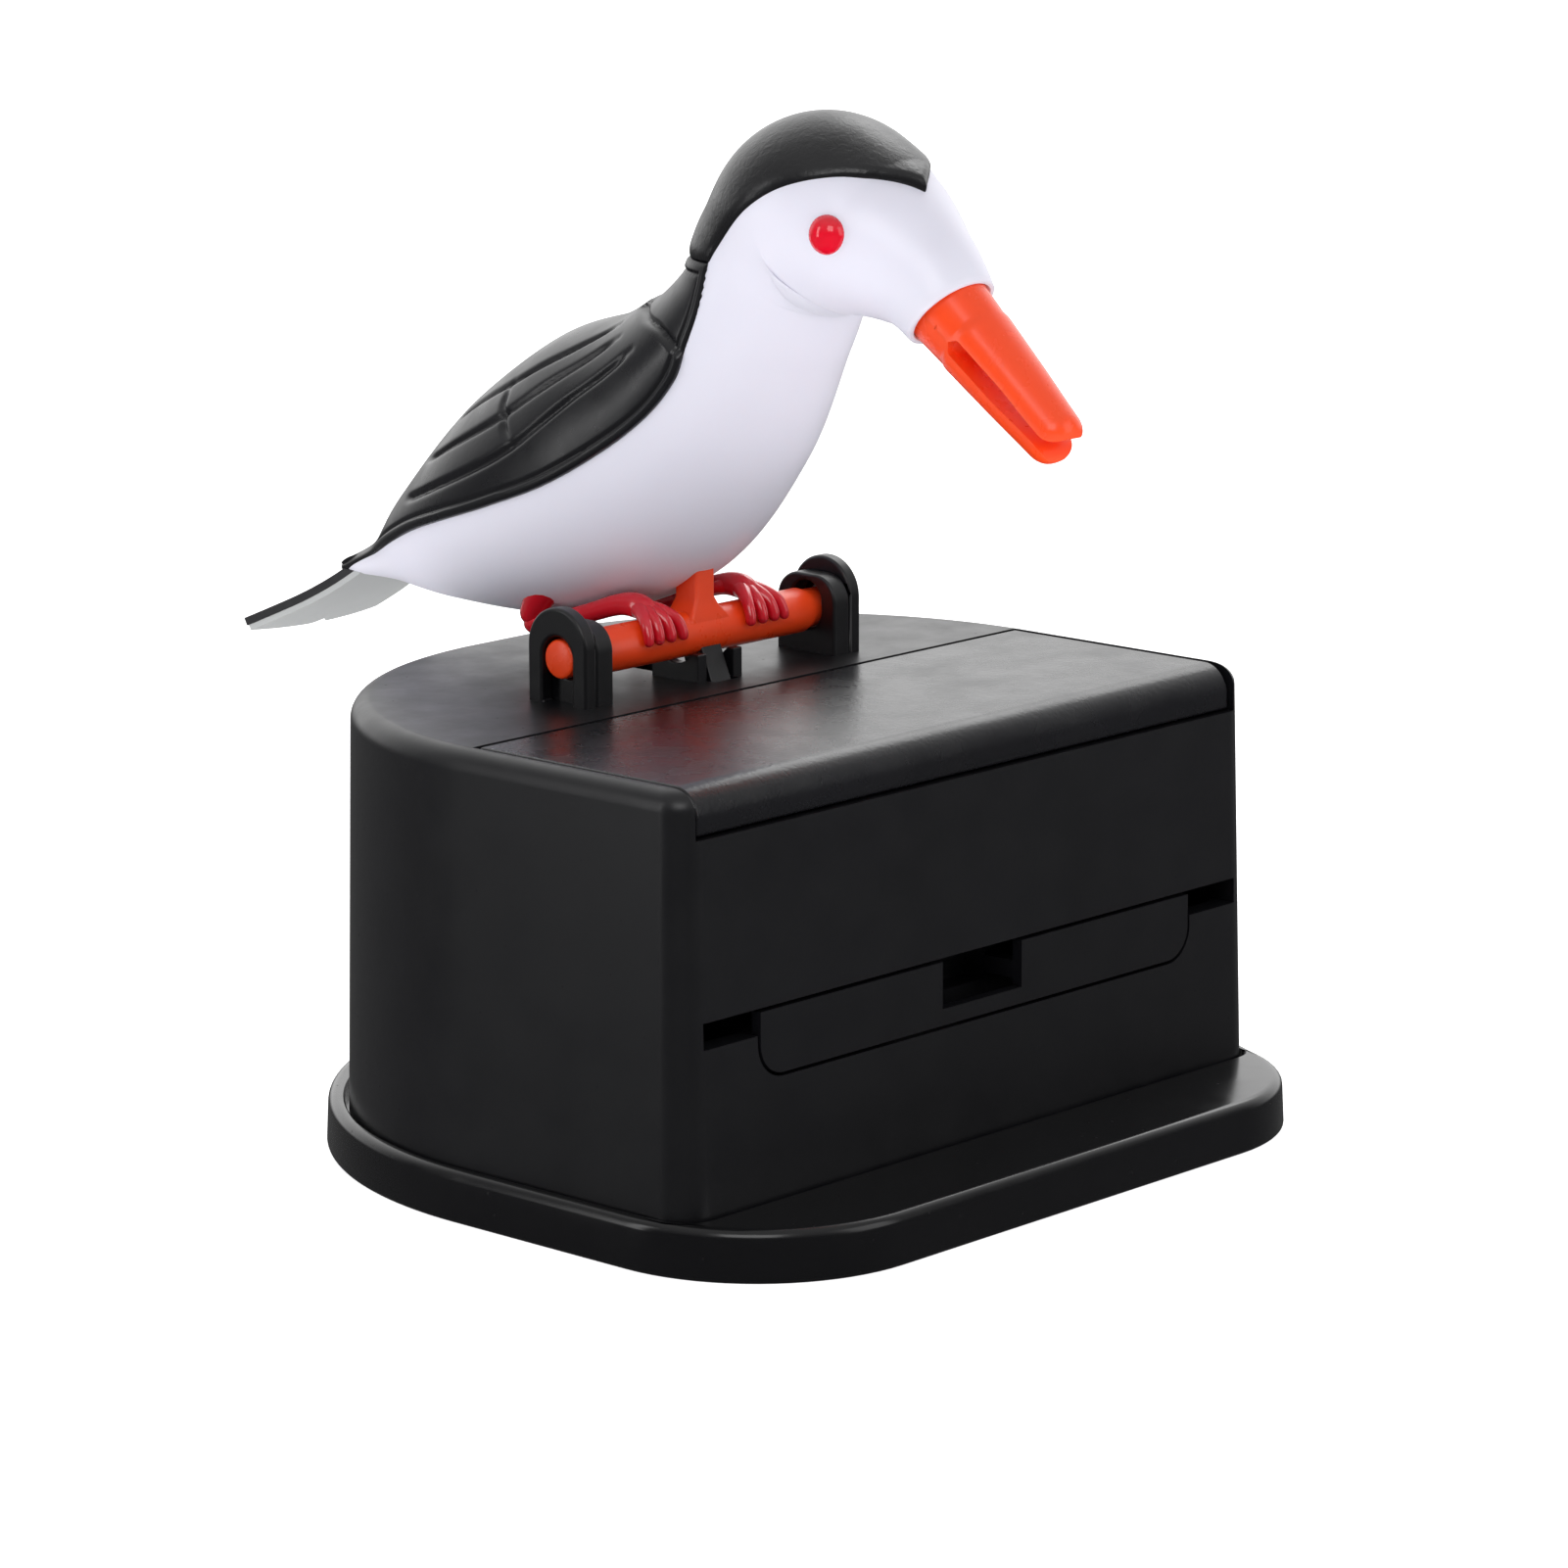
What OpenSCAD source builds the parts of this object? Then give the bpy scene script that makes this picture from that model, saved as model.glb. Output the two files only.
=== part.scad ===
// Pecking bird toothpick dispenser: a bird on a perch tips forward and takes one toothpick off a tray.
// Millimetres. +X runs along the perch, -Y is the front, +Z is up.
// The origin is on the table, under the middle of the base plate.

/* [Base and case] */
// Width of the base plate
base_w = 75; // [74:0.5:77]
// Depth of the base plate
base_d = 72.8; // [72:0.4:74]
// Height of the base plate
base_h = 4.4; // [4.2:0.1:4.8]
// Width of the case at its foot
case_w = 72.2; // [72:0.1:72.6]
// Height of the case's flat top
case_top = 39; // [39:0.1:39.3]
// Thickness of the case's walls
wall = 2; // [1.8:0.1:2.1]

/* [Perch and peck] */
// Distance of the perch axis behind the middle of the base
perch_y = 6.5; // [6.4:0.1:6.6]
// Height of the perch axis
perch_z = 42.8; // [42.7:0.1:42.9]
// Radius of the perch rod
perch_r = 1.95; // [1.8:0.05:2]
// Radius of the perch's end pins
pin_r = 1.7; // [1.5:0.05:1.7]
// How far the bird tips forward
peck_angle = 60; // [50:1:60]

/* [Toothpick tray] */
// Width of the tray's front flap
tray_w = 54; // [50:1:54]
// Width of the slot that a toothpick passes through
slot_w = 67; // [66.4:0.2:67]
// Height of that slot
slot_h = 2.2; // [2.1:0.1:2.4]

/* [Hidden] */
$fn = 48;
eps = 0.01;
play = 0.3;       // gap between pieces that pass each other
fit = 0.05;       // radial clearance of a turning pin
seat = 0.02;      // radial clearance of a pin that is pushed in

// case
case_front = -26;
case_back = 32.4;
case_foot = 3.4;
corner_r = 3;
back_r = 33;
draft = 0.02;     // how far the walls lean in, per millimetre of height
top_t = 1.6;
edge_r = 1.8;

// lid
lid_back = -0.36;
lid_half = 33.5;
lid_t = 2;
lid_front = -24.85;
lid_seam = 35;
hinge_y = -21.9;
hinge_z = 36;
hinge_r = 1.1;
lid_edge_r = 2.5;

// perch brackets
bracket_in = 13.7;
cheek_t = 2;
rim_t = 1.4;
bracket_w = 6.8;
cheek_top = 45.9;
rim_arch_z = 43.8;
lever_slot = [3, 13.9];

// drive: perch lever, rocker and tray
lever_l = 8.5;
lever_t = 2.4;
lever_rest = -20;                       // lever angle from straight down, towards the back
lever_mid = lever_rest + peck_angle / 2;
lever_eye = 1.8;
rocker_turn = 0.98 * peck_angle;        // the rocker turns a little less than the bird, the other way
cross_r = 1;
centres = 15.5;                         // perch axis to rocker axis
rocker_y = perch_y + centres * sin(lever_mid);
rocker_z = perch_z - centres * cos(lever_mid);
fork_l = 9.55;
arm_l = 9;
arm_t = 1.6;
tip_r = 1.2;
steel_r = 1;
tip_y = rocker_y + arm_l * sin(rocker_turn / 2);
tip_z = rocker_z - arm_l * cos(rocker_turn / 2);
post_x = 4;
post_t = 2;

// tray
tray_bottom = 14.6;
tray_top = 20;
slot_z = 18.1;
lip_back = -24.75;
groove_back = -21.5;
tray_back = -11;
notch_w = 10;
notch_z = 16;
notch_back = -19.4;
tongue_half = 3.4;
tongue_z = [15, 16.6];
flap_r = 2.7;

// frame and chute
frame_t = 1.5;
rail_x = 14;
spring_y = [16.7, 27];
spring_z = 18.6;
chute_half = 32.9;

// screws
base_screw_at = [[-31.4, -20], [31.4, -20], [-22.6, 20.6], [22.6, 20.6]];
frame_screw_at = [[-10.5, 2], [10.5, 2]];
shank_r = 1.1;
head_r = 2.4;
head_h = 1.5;

// bird: body sections from the tail to the beak, each [y, z, half thickness, half width]
SECTIONS = [[45.5, 44.2, 1.0, 4.6], [40, 45.7, 2.6, 6.4], [33.5, 48.2, 6.1, 9.5], [23, 52.5, 10.4, 12.4],
    [13, 57.2, 11.8, 12.7], [5, 62.9, 9.5, 11.1], [-1.4, 70.5, 7.2, 8.9], [-4.3, 76, 7.6, 8.0],
    [-8.5, 79.6, 8.4, 8.8], [-14.5, 78, 6.7, 7.6], [-19.3, 75.5, 4.9, 5.1], [-22, 73, 4.0, 4.3]];
skin_steps = 3;
skin_sides = 28;
skin_t = 1.5;
// side view of the lower edge of the wings and the front edge of the neck piece
WING_EDGE = [[-2.6, 75.9], [-2.2, 74], [-1.9, 71.5], [-1.1, 68.8], [-0.2, 66], [2.4, 62.7], [6.8, 59.3],
    [12.3, 56.2], [18.9, 53.7], [24.5, 51.9], [30.9, 49.8], [38, 46.8], [40.5, 45.4], [46.5, 42.2]];
// side view of the lower edge of the cap
CAP_EDGE = [[-2.6, 75.9], [-4.2, 77.9], [-7.6, 80.9], [-10.8, 82.8], [-14.4, 83.6], [-17, 83.3], [-19.2, 82.6],
    [-21, 83]];
beak_at = [0, -22, 73];
beak_angle = 39.6;    // below the horizontal
beak_r = 3.6;
beak_tip_r = 2.3;
beak_l = 14.6;
lobe_r = 1.2;
eye_at = [6.4, -14.8, 79.2];
eye_r = 1.7;
eye_dome_r = 1.95;
eye_seat_x = 5.6;
tail_at = [0, 40, 45.5];
tail_angle = 28.4;
tail_l = 16.4;
leg_x = 6.3;
stem_top = 51.2;

// ---------- outlines ----------

// flat outline with a straight front, rounded front corners and a wide round back
module plan(w, front, back, rf, rb) {
    half = w / 2;
    for (s = [-1, 1]) {
        translate([s * (half - rf), front + rf]) circle(r = rf);
        translate([s * (half - rb), back - rb]) intersection() {
            circle(r = rb, $fn = 96);
            translate([-rb, 0]) square([2 * rb, rb]);
        }
    }
    translate([-half, front + rf]) square([w, back - rb - front - rf]);
    translate([-half + rf, front]) square([w - 2 * rf, rf + eps]);
    translate([-half + rb, back - rb]) square([w - 2 * rb, rb]);
}

// the same outline as a list of points, drawn inwards by inset
function arc_points(cx, cy, r, from, to, n) =
    [for (i = [0:n]) [cx + r * cos(from + (to - from) * i / n), cy + r * sin(from + (to - from) * i / n)]];

function case_outline(inset) =
    let (half = case_w / 2 - inset, rf = corner_r - inset / 2, rb = back_r - inset,
        front = case_front + inset, back = case_back - inset)
    concat(arc_points(-half + rf, front + rf, rf, 180, 270, 5), arc_points(half - rf, front + rf, rf, 270, 360, 5),
        arc_points(half - rb, back - rb, rb, 0, 90, 18), arc_points(-half + rb, back - rb, rb, 90, 180, 18));

// closed solid through a list of rings that all have the same number of points
module skin(rings) {
    n = len(rings[0]);
    m = len(rings);
    points = [for (ring = rings) for (p = ring) p];
    below = [for (j = [0:m - 2]) for (i = [0:n - 1]) [j * n + i, (j + 1) * n + i, (j + 1) * n + (i + 1) % n]];
    above = [for (j = [0:m - 2]) for (i = [0:n - 1]) [j * n + i, (j + 1) * n + (i + 1) % n, j * n + (i + 1) % n]];
    first = [for (i = [0:n - 1]) i];
    last = [for (i = [0:n - 1]) m * n - 1 - i];
    polyhedron(points, concat([first], below, above, [last]), convexity = 6);
}

function lift(outline, z) = [for (p = outline) [p[0], p[1], z]];

function lean(z) = draft * (z - case_foot);

// draws a side view, given as [y, z], as a slab between two x values
module slab(x0, x1) {
    translate([x0, 0, 0]) rotate([90, 0, 90]) linear_extrude(x1 - x0) children();
}

module bar_x(r, x0, x1, y, z) {
    translate([x0, y, z]) rotate([0, 90, 0]) cylinder(r = r, h = x1 - x0);
}

// ---------- case and base ----------

module base_plate() {
    color("#141416") difference() {
        linear_extrude(base_h) plan(base_w, -base_d / 2, base_d / 2, 15.8, base_w / 2 - 0.1);
        translate([0, 0, case_foot]) linear_extrude(base_h) plan(case_w + 1, case_front - 0.5, case_back + 0.5, 3.5,
            back_r + 0.5);
        for (at = concat(base_screw_at, frame_screw_at)) translate([at[0], at[1], -eps]) {
            cylinder(r = shank_r + 0.2, h = base_h);
            cylinder(r = head_r + 0.3, h = head_h + 0.2 + 2 * eps);
        }
    }
}

module case_solid() {
    top_rings = [for (i = [0:4]) let (a = 90 * i / 4) lift(case_outline(lean(case_top) + edge_r * (1 - cos(a))),
        case_top - edge_r * (1 - sin(a)))];
    skin(concat([lift(case_outline(0), case_foot)], top_rings));
}

module case_cavity() {
    roof = case_top - top_t;
    skin([lift(case_outline(wall), case_foot - 1), lift(case_outline(wall + lean(roof)), roof)]);
}

// the flap's outline in the front wall, seen from the front as [x, z]
module flap_outline(gap) {
    half = tray_w / 2 + gap;
    r = flap_r + gap;
    translate([-half, tray_bottom - gap + r]) square([2 * half, tray_top + gap - (tray_bottom - gap + r)]);
    translate([-half + r, tray_bottom - gap]) square([2 * (half - r), r + eps]);
    for (s = [-1, 1]) translate([s * (half - r), tray_bottom - gap + r]) circle(r = r);
}

module bracket_side_view(top, r) {
    half = bracket_w / 2;
    translate([perch_y - half, case_top - 1]) square([bracket_w, top - r - case_top + 1]);
    translate([perch_y - half + r, top - r - eps]) square([bracket_w - 2 * r + eps, r + eps]);
    for (s = [-1, 1]) translate([perch_y + s * (half - r), top - r]) circle(r = r);
}

module bracket() {
    cheek_out = bracket_in + cheek_t;
    difference() {
        slab(bracket_in, cheek_out) bracket_side_view(cheek_top, 2.4);
        bar_x(pin_r + fit, bracket_in - 1, cheek_out + 1, perch_y, perch_z);
        translate([bracket_in - 1, perch_y - pin_r, perch_z]) cube([cheek_t + 2, 2 * pin_r, 1.2]);
        bar_x(pin_r, bracket_in - 1, cheek_out + 1, perch_y, perch_z + 0.75);
    }
    difference() {
        slab(cheek_out - eps, cheek_out + rim_t) union() {
            translate([perch_y - bracket_w / 2, case_top - 1]) square([bracket_w, rim_arch_z - case_top + 1]);
            translate([perch_y, rim_arch_z]) circle(r = bracket_w / 2);
        }
        slab(cheek_out - 1, cheek_out + rim_t + 1) union() {
            translate([perch_y - pin_r - fit, case_top]) square([2 * (pin_r + fit), perch_z - case_top + 0.2]);
            translate([perch_y, perch_z + 0.2]) circle(r = pin_r + fit);
        }
    }
}

module centre_cheek() {
    difference() {
        translate([1.65, perch_y - 2.7, case_top - 1]) cube([1.1, 5.5, 3.4]);
        bar_x(perch_r + 0.4, 1, 4, perch_y, perch_z);
    }
}

module screw_boss(at, top) {
    translate([at[0], at[1], case_foot]) difference() {
        cylinder(r = 3, h = top - case_foot);
        translate([0, 0, -1]) cylinder(r = shank_r - 0.1 + seat, h = 8);
    }
}

module case_shell() {
    mouth = lid_half + 0.25;
    color("#26262a") difference() {
        union() {
            difference() {
                case_solid();
                case_cavity();
            }
            for (s = [0, 1]) mirror([s, 0, 0]) {
                bracket();
                centre_cheek();
            }
            for (i = [0:3]) screw_boss(base_screw_at[i], i < 2 ? 12.5 : 16);
        }
        translate([-mouth, case_front - 1, case_top - lid_t]) cube([2 * mouth, lid_back - case_front + 1, 4]);
        translate([-mouth, case_front - 1, lid_seam]) cube([2 * mouth, 5, 4]);
        bar_x(3.3, -mouth, mouth, hinge_y, hinge_z);
        bar_x(hinge_r + fit, -34.9, 34.9, hinge_y, hinge_z);
        translate([-slot_w / 2, case_front - 1, slot_z]) cube([slot_w, 5, slot_h]);
        translate([0, case_front + 4, 0]) rotate([90, 0, 0]) linear_extrude(5) flap_outline(play);
        translate([-1.5, lever_slot[0], case_top - 3]) cube([3, lever_slot[1] - lever_slot[0], 4]);
    }
}

module refill_lid() {
    skirt_t = 1.5;
    bend = lid_front + lid_edge_r;
    color("#242428") union() {
        slab(-lid_half, lid_half) union() {
            translate([bend, case_top - lid_t]) square([lid_back - play - bend, lid_t]);
            translate([lid_front, lid_seam + 0.15]) square([skirt_t, hinge_z + 0.5 - lid_seam - 0.15]);
            intersection() {
                translate([bend, case_top - lid_edge_r]) circle(r = lid_edge_r);
                translate([lid_front, case_top - lid_edge_r]) square([lid_edge_r, lid_edge_r]);
            }
            translate([hinge_y, hinge_z]) circle(r = 1.6);
        }
        bar_x(hinge_r, -34.7, 34.7, hinge_y, hinge_z);
    }
}

// ---------- inside the case ----------

module inner_frame() {
    post_w = 7;
    color("#3a3a3e") difference() {
        union() {
            translate([-16, -20, case_foot]) cube([32, 44, frame_t]);
            translate([-6, 20, case_foot]) cube([12, 9, frame_t]);
            for (s = [-1, 1]) translate([s * (rail_x + 1) - 1, -20, case_foot]) cube([2, 16, tray_bottom - play
                - case_foot]);
            translate([-3, -1, case_foot]) cube([6, 21, tongue_z[0] - play - case_foot]);
            for (s = [-1, 1]) {
                slab(s * (post_x + post_t / 2) - post_t / 2, s * (post_x + post_t / 2) + post_t / 2) union() {
                    translate([rocker_y - post_w / 2, case_foot]) square([post_w, rocker_z - case_foot]);
                    translate([rocker_y, rocker_z]) circle(r = post_w / 2);
                }
            }
            translate([-2.5, spring_y[1] + 0.1, case_foot]) cube([5, 1.8, spring_z + 3 - case_foot]);
            for (at = frame_screw_at) translate([at[0], at[1], case_foot]) cylinder(r = 2.8, h = 7);
        }
        bar_x(steel_r + seat, -8, 8, rocker_y, rocker_z);
        for (at = frame_screw_at) translate([at[0], at[1], case_foot - 1]) cylinder(r = shank_r + seat, h = 7);
    }
}

module hopper_chute() {
    back = -0.9;
    lip = groove_back + play;
    wall_top = case_top - lid_t - 0.05;
    color("#3a3a3e") difference() {
        slab(-chute_half, chute_half) polygon([[back, case_foot], [back, wall_top], [back - 1.5, wall_top],
            [back - 1.5, 34.4], [lip, tray_top + 1.5], [lip, tray_top + play], [back - 1.5, 32.4],
            [back - 1.5, case_foot]]);
        translate([-17, back - 2, case_foot - 1]) cube([34, 3, tray_top + 3 - case_foot]);
    }
}

module screw(length) {
    difference() {
        union() {
            cylinder(r = head_r, h = head_h);
            cylinder(r = shank_r - 0.1, h = length);
        }
        for (a = [0, 90]) rotate(a) translate([-1.5, -0.3, -1]) cube([3, 0.6, 1.8]);
    }
}

module base_screws() {
    color("silver") for (at = base_screw_at) translate([at[0], at[1], 0.2]) screw(9);
}

module frame_screws() {
    color("silver") for (at = frame_screw_at) translate([at[0], at[1], 0.2]) screw(8);
}

module rocker_pin() {
    color("silver") bar_x(steel_r, -6.4, 6.4, rocker_y, rocker_z);
}

module lever_pin() {
    end = [perch_y + lever_l * sin(lever_rest), perch_z - lever_l * cos(lever_rest)];
    color("silver") bar_x(cross_r, -3.5, 3.5, end[0], end[1]);
}

// turns a side view drawn straight up from the rocker's axis into the rest position
module rocker_slab(x0, x1, lean_front) {
    slab(x0, x1) translate([rocker_y, rocker_z]) rotate(lean_front) children();
}

module rocker_arm() {
    hub_r = 2.7;
    gap = cross_r + 0.4;
    fork_w = 2 * gap + 2.4;
    slot_foot = 6.6;
    color("#e8e4d8") difference() {
        union() {
            for (s = [-1, 1]) {
                rocker_slab(s > 0 ? 1.6 : -3.4, s > 0 ? 3.4 : -1.6, rocker_turn / 2 + lever_mid) difference() {
                    intersection() {
                        translate([-fork_w / 2, 0]) square([fork_w, fork_l + 1]);
                        circle(r = fork_l, $fn = 96);
                    }
                    translate([0, slot_foot]) circle(r = gap);
                    translate([-gap, slot_foot]) square([2 * gap, 8]);
                }
            }
            bar_x(hub_r, -3.4, 3.4, rocker_y, rocker_z);
            rocker_slab(-1.5, 1.5, rocker_turn / 2 + 180) translate([-arm_t / 2, 0]) square([arm_t, arm_l]);
            bar_x(tip_r, -2.6, 2.6, tip_y, tip_z);
        }
        bar_x(steel_r + fit, -8, 8, rocker_y, rocker_z);
    }
}

module feed_tray() {
    lug = tip_r + 0.35;
    lug_t = 1.4;
    color("#202024") difference() {
        union() {
            translate([0, lip_back, 0]) rotate([90, 0, 0]) linear_extrude(lip_back - case_front - 0.25)
                flap_outline(0);
            translate([-tray_w / 2, lip_back - eps, slot_z - 1.5]) cube([tray_w, 4, 1.5]);
            translate([0, tray_back, 0]) rotate([90, 0, 0]) linear_extrude(tray_back - groove_back) flap_outline(0);
            translate([-tongue_half, tray_back - 1, tongue_z[0]]) cube([2 * tongue_half, tip_y + lug + lug_t
                - tray_back + 1, tongue_z[1] - tongue_z[0]]);
            for (y = [tip_y - lug - lug_t, tip_y + lug]) translate([-2.4, y, tongue_z[0]]) cube([4.8, lug_t, 5.4]);
        }
        translate([-notch_w / 2, case_front - 1, notch_z]) cube([notch_w, notch_back - case_front + 1, 5]);
        translate([-tray_w / 2 + 3, notch_back + 1.4, tray_bottom - 1]) cube([tray_w - 6, tray_back - notch_back
            - 3, tray_top - tray_bottom - 0.6]);
    }
}

module return_spring() {
    turns = 9;
    per_turn = 14;
    coil_r = 1.9;
    wire_r = 0.3;
    total = turns * per_turn;
    pitch = (spring_y[1] - spring_y[0] - 2 * wire_r) / total;
    rings = [for (i = [0:total]) let (a = 360 * i / per_turn, y = spring_y[0] + wire_r + pitch * i)
        [for (k = [0:5]) let (b = 60 * k, r = coil_r + wire_r * cos(b))
            [r * cos(a), y + wire_r * sin(b), spring_z + r * sin(a)]]];
    color("silver") skin(rings);
}

// ---------- the bird ----------

// Catmull-Rom value between b and c at t from 0 to 1
function blend(a, b, c, d, t) = 0.5 * (2 * b + (c - a) * t + (2 * a - 5 * b + 4 * c - d) * t * t
    + (3 * b - a - 3 * c + d) * t * t * t);

function section(i) = SECTIONS[max(0, min(len(SECTIONS) - 1, i))];

function section_at(u) = let (i = min(floor(u), len(SECTIONS) - 2))
    blend(section(i - 1), section(i), section(i + 1), section(i + 2), u - i);

function body_ring(u, inset) =
    let (s = section_at(u), ahead = section_at(min(u + 0.05, len(SECTIONS) - 1)), behind = section_at(max(u - 0.05, 0)),
        d = [ahead[0] - behind[0], ahead[1] - behind[1]], along = d / norm(d))
    [for (k = [0:skin_sides - 1]) let (a = 360 * k / skin_sides, side = (s[3] - inset) * cos(a),
        up = (s[2] - inset) * sin(a)) [side, s[0] + up * along[1], s[1] - up * along[0]]];

module bird_outer() {
    last = (len(SECTIONS) - 1) * skin_steps;
    skin([for (i = [0:last]) body_ring(i / skin_steps, 0)]);
}

module bird_hollow() {
    last = (len(SECTIONS) - 1) * skin_steps;
    skin([for (i = [2 * skin_steps:last - 1]) body_ring(i / skin_steps, skin_t)]);
}

module bird_wall() {
    difference() {
        bird_outer();
        bird_hollow();
    }
}

module above_wing_edge() {
    slab(-16, 16) polygon(concat(WING_EDGE, [[50, 60], [20, 80], [9, 75.9]]));
}

module above_cap_edge() {
    slab(-16, 16) polygon(concat(CAP_EDGE, [[-24, 90], [9, 90], [9, 75.9]]));
}

module tail_outline(shrink) {
    polygon([[-3.6 + shrink, 0], [-8 + shrink, tail_l - shrink], [-0.6, tail_l - 0.3 - shrink], [0, tail_l - 1],
        [0.6, tail_l - 0.3 - shrink], [8 - shrink, tail_l - shrink], [3.6 - shrink, 0]]);
}

module tail_place() {
    translate(tail_at) rotate([-tail_angle, 0, 0]) children();
}

module tail_top() {
    color("#202022") tail_place() linear_extrude(0.9) tail_outline(0);
}

module tail_under() {
    color("#c8c9c9") tail_place() translate([0, 0, -0.5]) linear_extrude(0.5) tail_outline(0.2);
}

module tail_room() {
    tail_place() translate([-5.6, -0.2, -0.55]) cube([11.2, 12, 1.5]);
}

module beak_place() {
    translate(beak_at) rotate([90 + beak_angle, 0, 0]) children();
}

module beak() {
    slot_from = 3.4;
    slot_t = 1.1;
    lobe_off = beak_tip_r - lobe_r;
    color("#ff5a2c") beak_place() difference() {
        union() {
            cylinder(r1 = beak_r, r2 = beak_tip_r, h = beak_l);
            translate([0, 0, -3]) cylinder(r = 2.2, h = 3 + eps);
            for (s = [-1, 1]) translate([0, s * (lobe_off + 0.1), beak_l]) sphere(r = lobe_r);
        }
        translate([-5, -slot_t / 2, slot_from]) cube([10, slot_t, beak_l]);
        translate([-5, 0, slot_from]) rotate([0, 90, 0]) cylinder(r = 0.75, h = 10);
    }
}

// the hole for the beak's spigot, and a flat nose for the beak to sit against
module beak_socket() {
    beak_place() {
        translate([0, 0, -6]) cylinder(r = 2.2 + seat, h = 7);
        translate([0, 0, -seat]) cylinder(r = 6, h = 4);
    }
}

// a round button with a domed face, seated in a round hole in the head
module eye(side) {
    color("#e01528") intersection() {
        translate([side * eye_at[0], eye_at[1], eye_at[2]]) sphere(r = eye_dome_r);
        bar_x(eye_r, min(side * eye_seat_x, side * 9), max(side * eye_seat_x, side * 9), eye_at[1], eye_at[2]);
    }
}

module eye_holes() {
    for (side = [-1, 1]) bar_x(eye_r + seat, min(side * eye_seat_x, side * 12), max(side * eye_seat_x, side * 12),
        eye_at[1], eye_at[2]);
}

module eye_left() {
    eye(-1);
}

module eye_right() {
    eye(1);
}

module stem_block(gap) {
    translate([-1.5 - gap, perch_y - 1.6 - gap, perch_z + 1]) cube([3 + 2 * gap, 3.2 + 2 * gap, stem_top - perch_z
        - 1]);
}

module bird_body() {
    color("#e6e4f2") difference() {
        bird_outer();
        difference() {
            bird_hollow();
            translate([-3.4, perch_y - 3.4, 42]) cube([6.8, 6.8, stem_top - 42]);
        }
        translate([0, perch_y, stem_top - eps]) cylinder(r = head_r + 0.1, h = head_h + 2);
        above_wing_edge();
        above_cap_edge();
        stem_block(seat);
        tail_room();
        beak_socket();
        eye_holes();
    }
}

module back_cover() {
    color("#26262a") difference() {
        intersection() {
            bird_wall();
            above_wing_edge();
        }
        tail_room();
    }
}

module head_cap() {
    color("#26262a") intersection() {
        bird_wall();
        above_cap_edge();
    }
}

module perch() {
    rod = bracket_in - 0.3;
    shoulder = 0.8;
    end = 16.9;
    color("#ff5a2c") difference() {
        union() {
            bar_x(perch_r, -rod + shoulder, rod - shoulder, perch_y, perch_z);
            for (s = [0, 1]) mirror([s, 0, 0]) {
                translate([rod - shoulder, perch_y, perch_z]) rotate([0, 90, 0]) cylinder(r1 = perch_r,
                    r2 = pin_r, h = shoulder);
                bar_x(pin_r, rod - eps, end, perch_y, perch_z);
            }
            stem_block(0);
            translate([0, perch_y + 1.6, 0]) rotate([90, 0, 0]) linear_extrude(3.2) polygon([[-3, perch_z + 1.5],
                [-1.5, perch_z + 3], [1.5, perch_z + 3], [3, perch_z + 1.5]]);
            slab(-lever_t / 2, lever_t / 2) translate([perch_y, perch_z]) rotate(lever_rest) union() {
                translate([-1.1, -lever_l]) square([2.2, lever_l]);
                translate([0, -lever_l]) circle(r = lever_eye);
            }
        }
        for (s = [0, 1]) mirror([s, 0, 0]) {
            translate([end, perch_y, perch_z]) rotate([-135, 0, 0]) translate([0, 0, 0.3]) rotate([0, 45, 0])
                translate([-3, -3, 0]) cube([6, 6, 4]);
        }
        translate([0, perch_y, stem_top - 6]) cylinder(r = shank_r - 0.1 + seat, h = 7);
        bar_x(cross_r + seat, -3, 3, perch_y + lever_l * sin(lever_rest), perch_z - lever_l * cos(lever_rest));
    }
}

module perch_screw() {
    color("silver") translate([0, perch_y, stem_top + head_h]) mirror([0, 0, 1]) screw(7);
}

// a tapering limb between two points
module limb(a, ra, b, rb) {
    hull() {
        translate(a) sphere(r = ra, $fn = 14);
        translate(b) sphere(r = rb, $fn = 14);
    }
}

module leg(side) {
    heel = [leg_x, 20.3, 42.5];
    shin = [leg_x, 13.5, 44.1];
    foot = [leg_x, 7.4, 45.6];
    toe_x = [-2, -0.8, 1, 2.2];
    difference() {
        mirror([side < 0 ? 1 : 0, 0, 0]) {
            limb([leg_x, 17.6, 47], 1.9, heel, 0.95);
            limb(heel, 0.95, shin, 0.8);
            limb(shin, 0.8, foot, 1);
            for (x = toe_x) {
                knuckle = [leg_x + 0.8 * x, 5, 45.2];
                limb(foot, 0.9, knuckle, 0.5);
                limb(knuckle, 0.5, [leg_x + 1.1 * x, perch_y - 2.3, 43.1], 0.42);
            }
        }
        bar_x(perch_r + seat, -13, 13, perch_y, perch_z);
        bird_outer();
    }
}

module leg_right() {
    color("#d8102a") leg(1);
}

module leg_left() {
    color("#d8102a") leg(-1);
}

base_plate();
case_shell();
refill_lid();
inner_frame();
hopper_chute();
base_screws();
frame_screws();
rocker_pin();
feed_tray();
rocker_arm();
return_spring();
perch();
lever_pin();
perch_screw();
bird_body();
back_cover();
head_cap();
tail_top();
tail_under();
beak();
eye_left();
eye_right();
leg_left();
leg_right();
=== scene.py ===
"""Looks of a pecking bird toothpick dispenser: a plastic bird on a perch above a D-shaped box.

Sizes in the classes are millimetres in the part's frame (+X along the perch, -Y the front, +Z up);
meshes are made in metres.
"""
import logging
import math
from dataclasses import dataclass, field
from enum import Enum

import bmesh
import bpy
import numpy as np
from mathutils import Matrix, Vector


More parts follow.
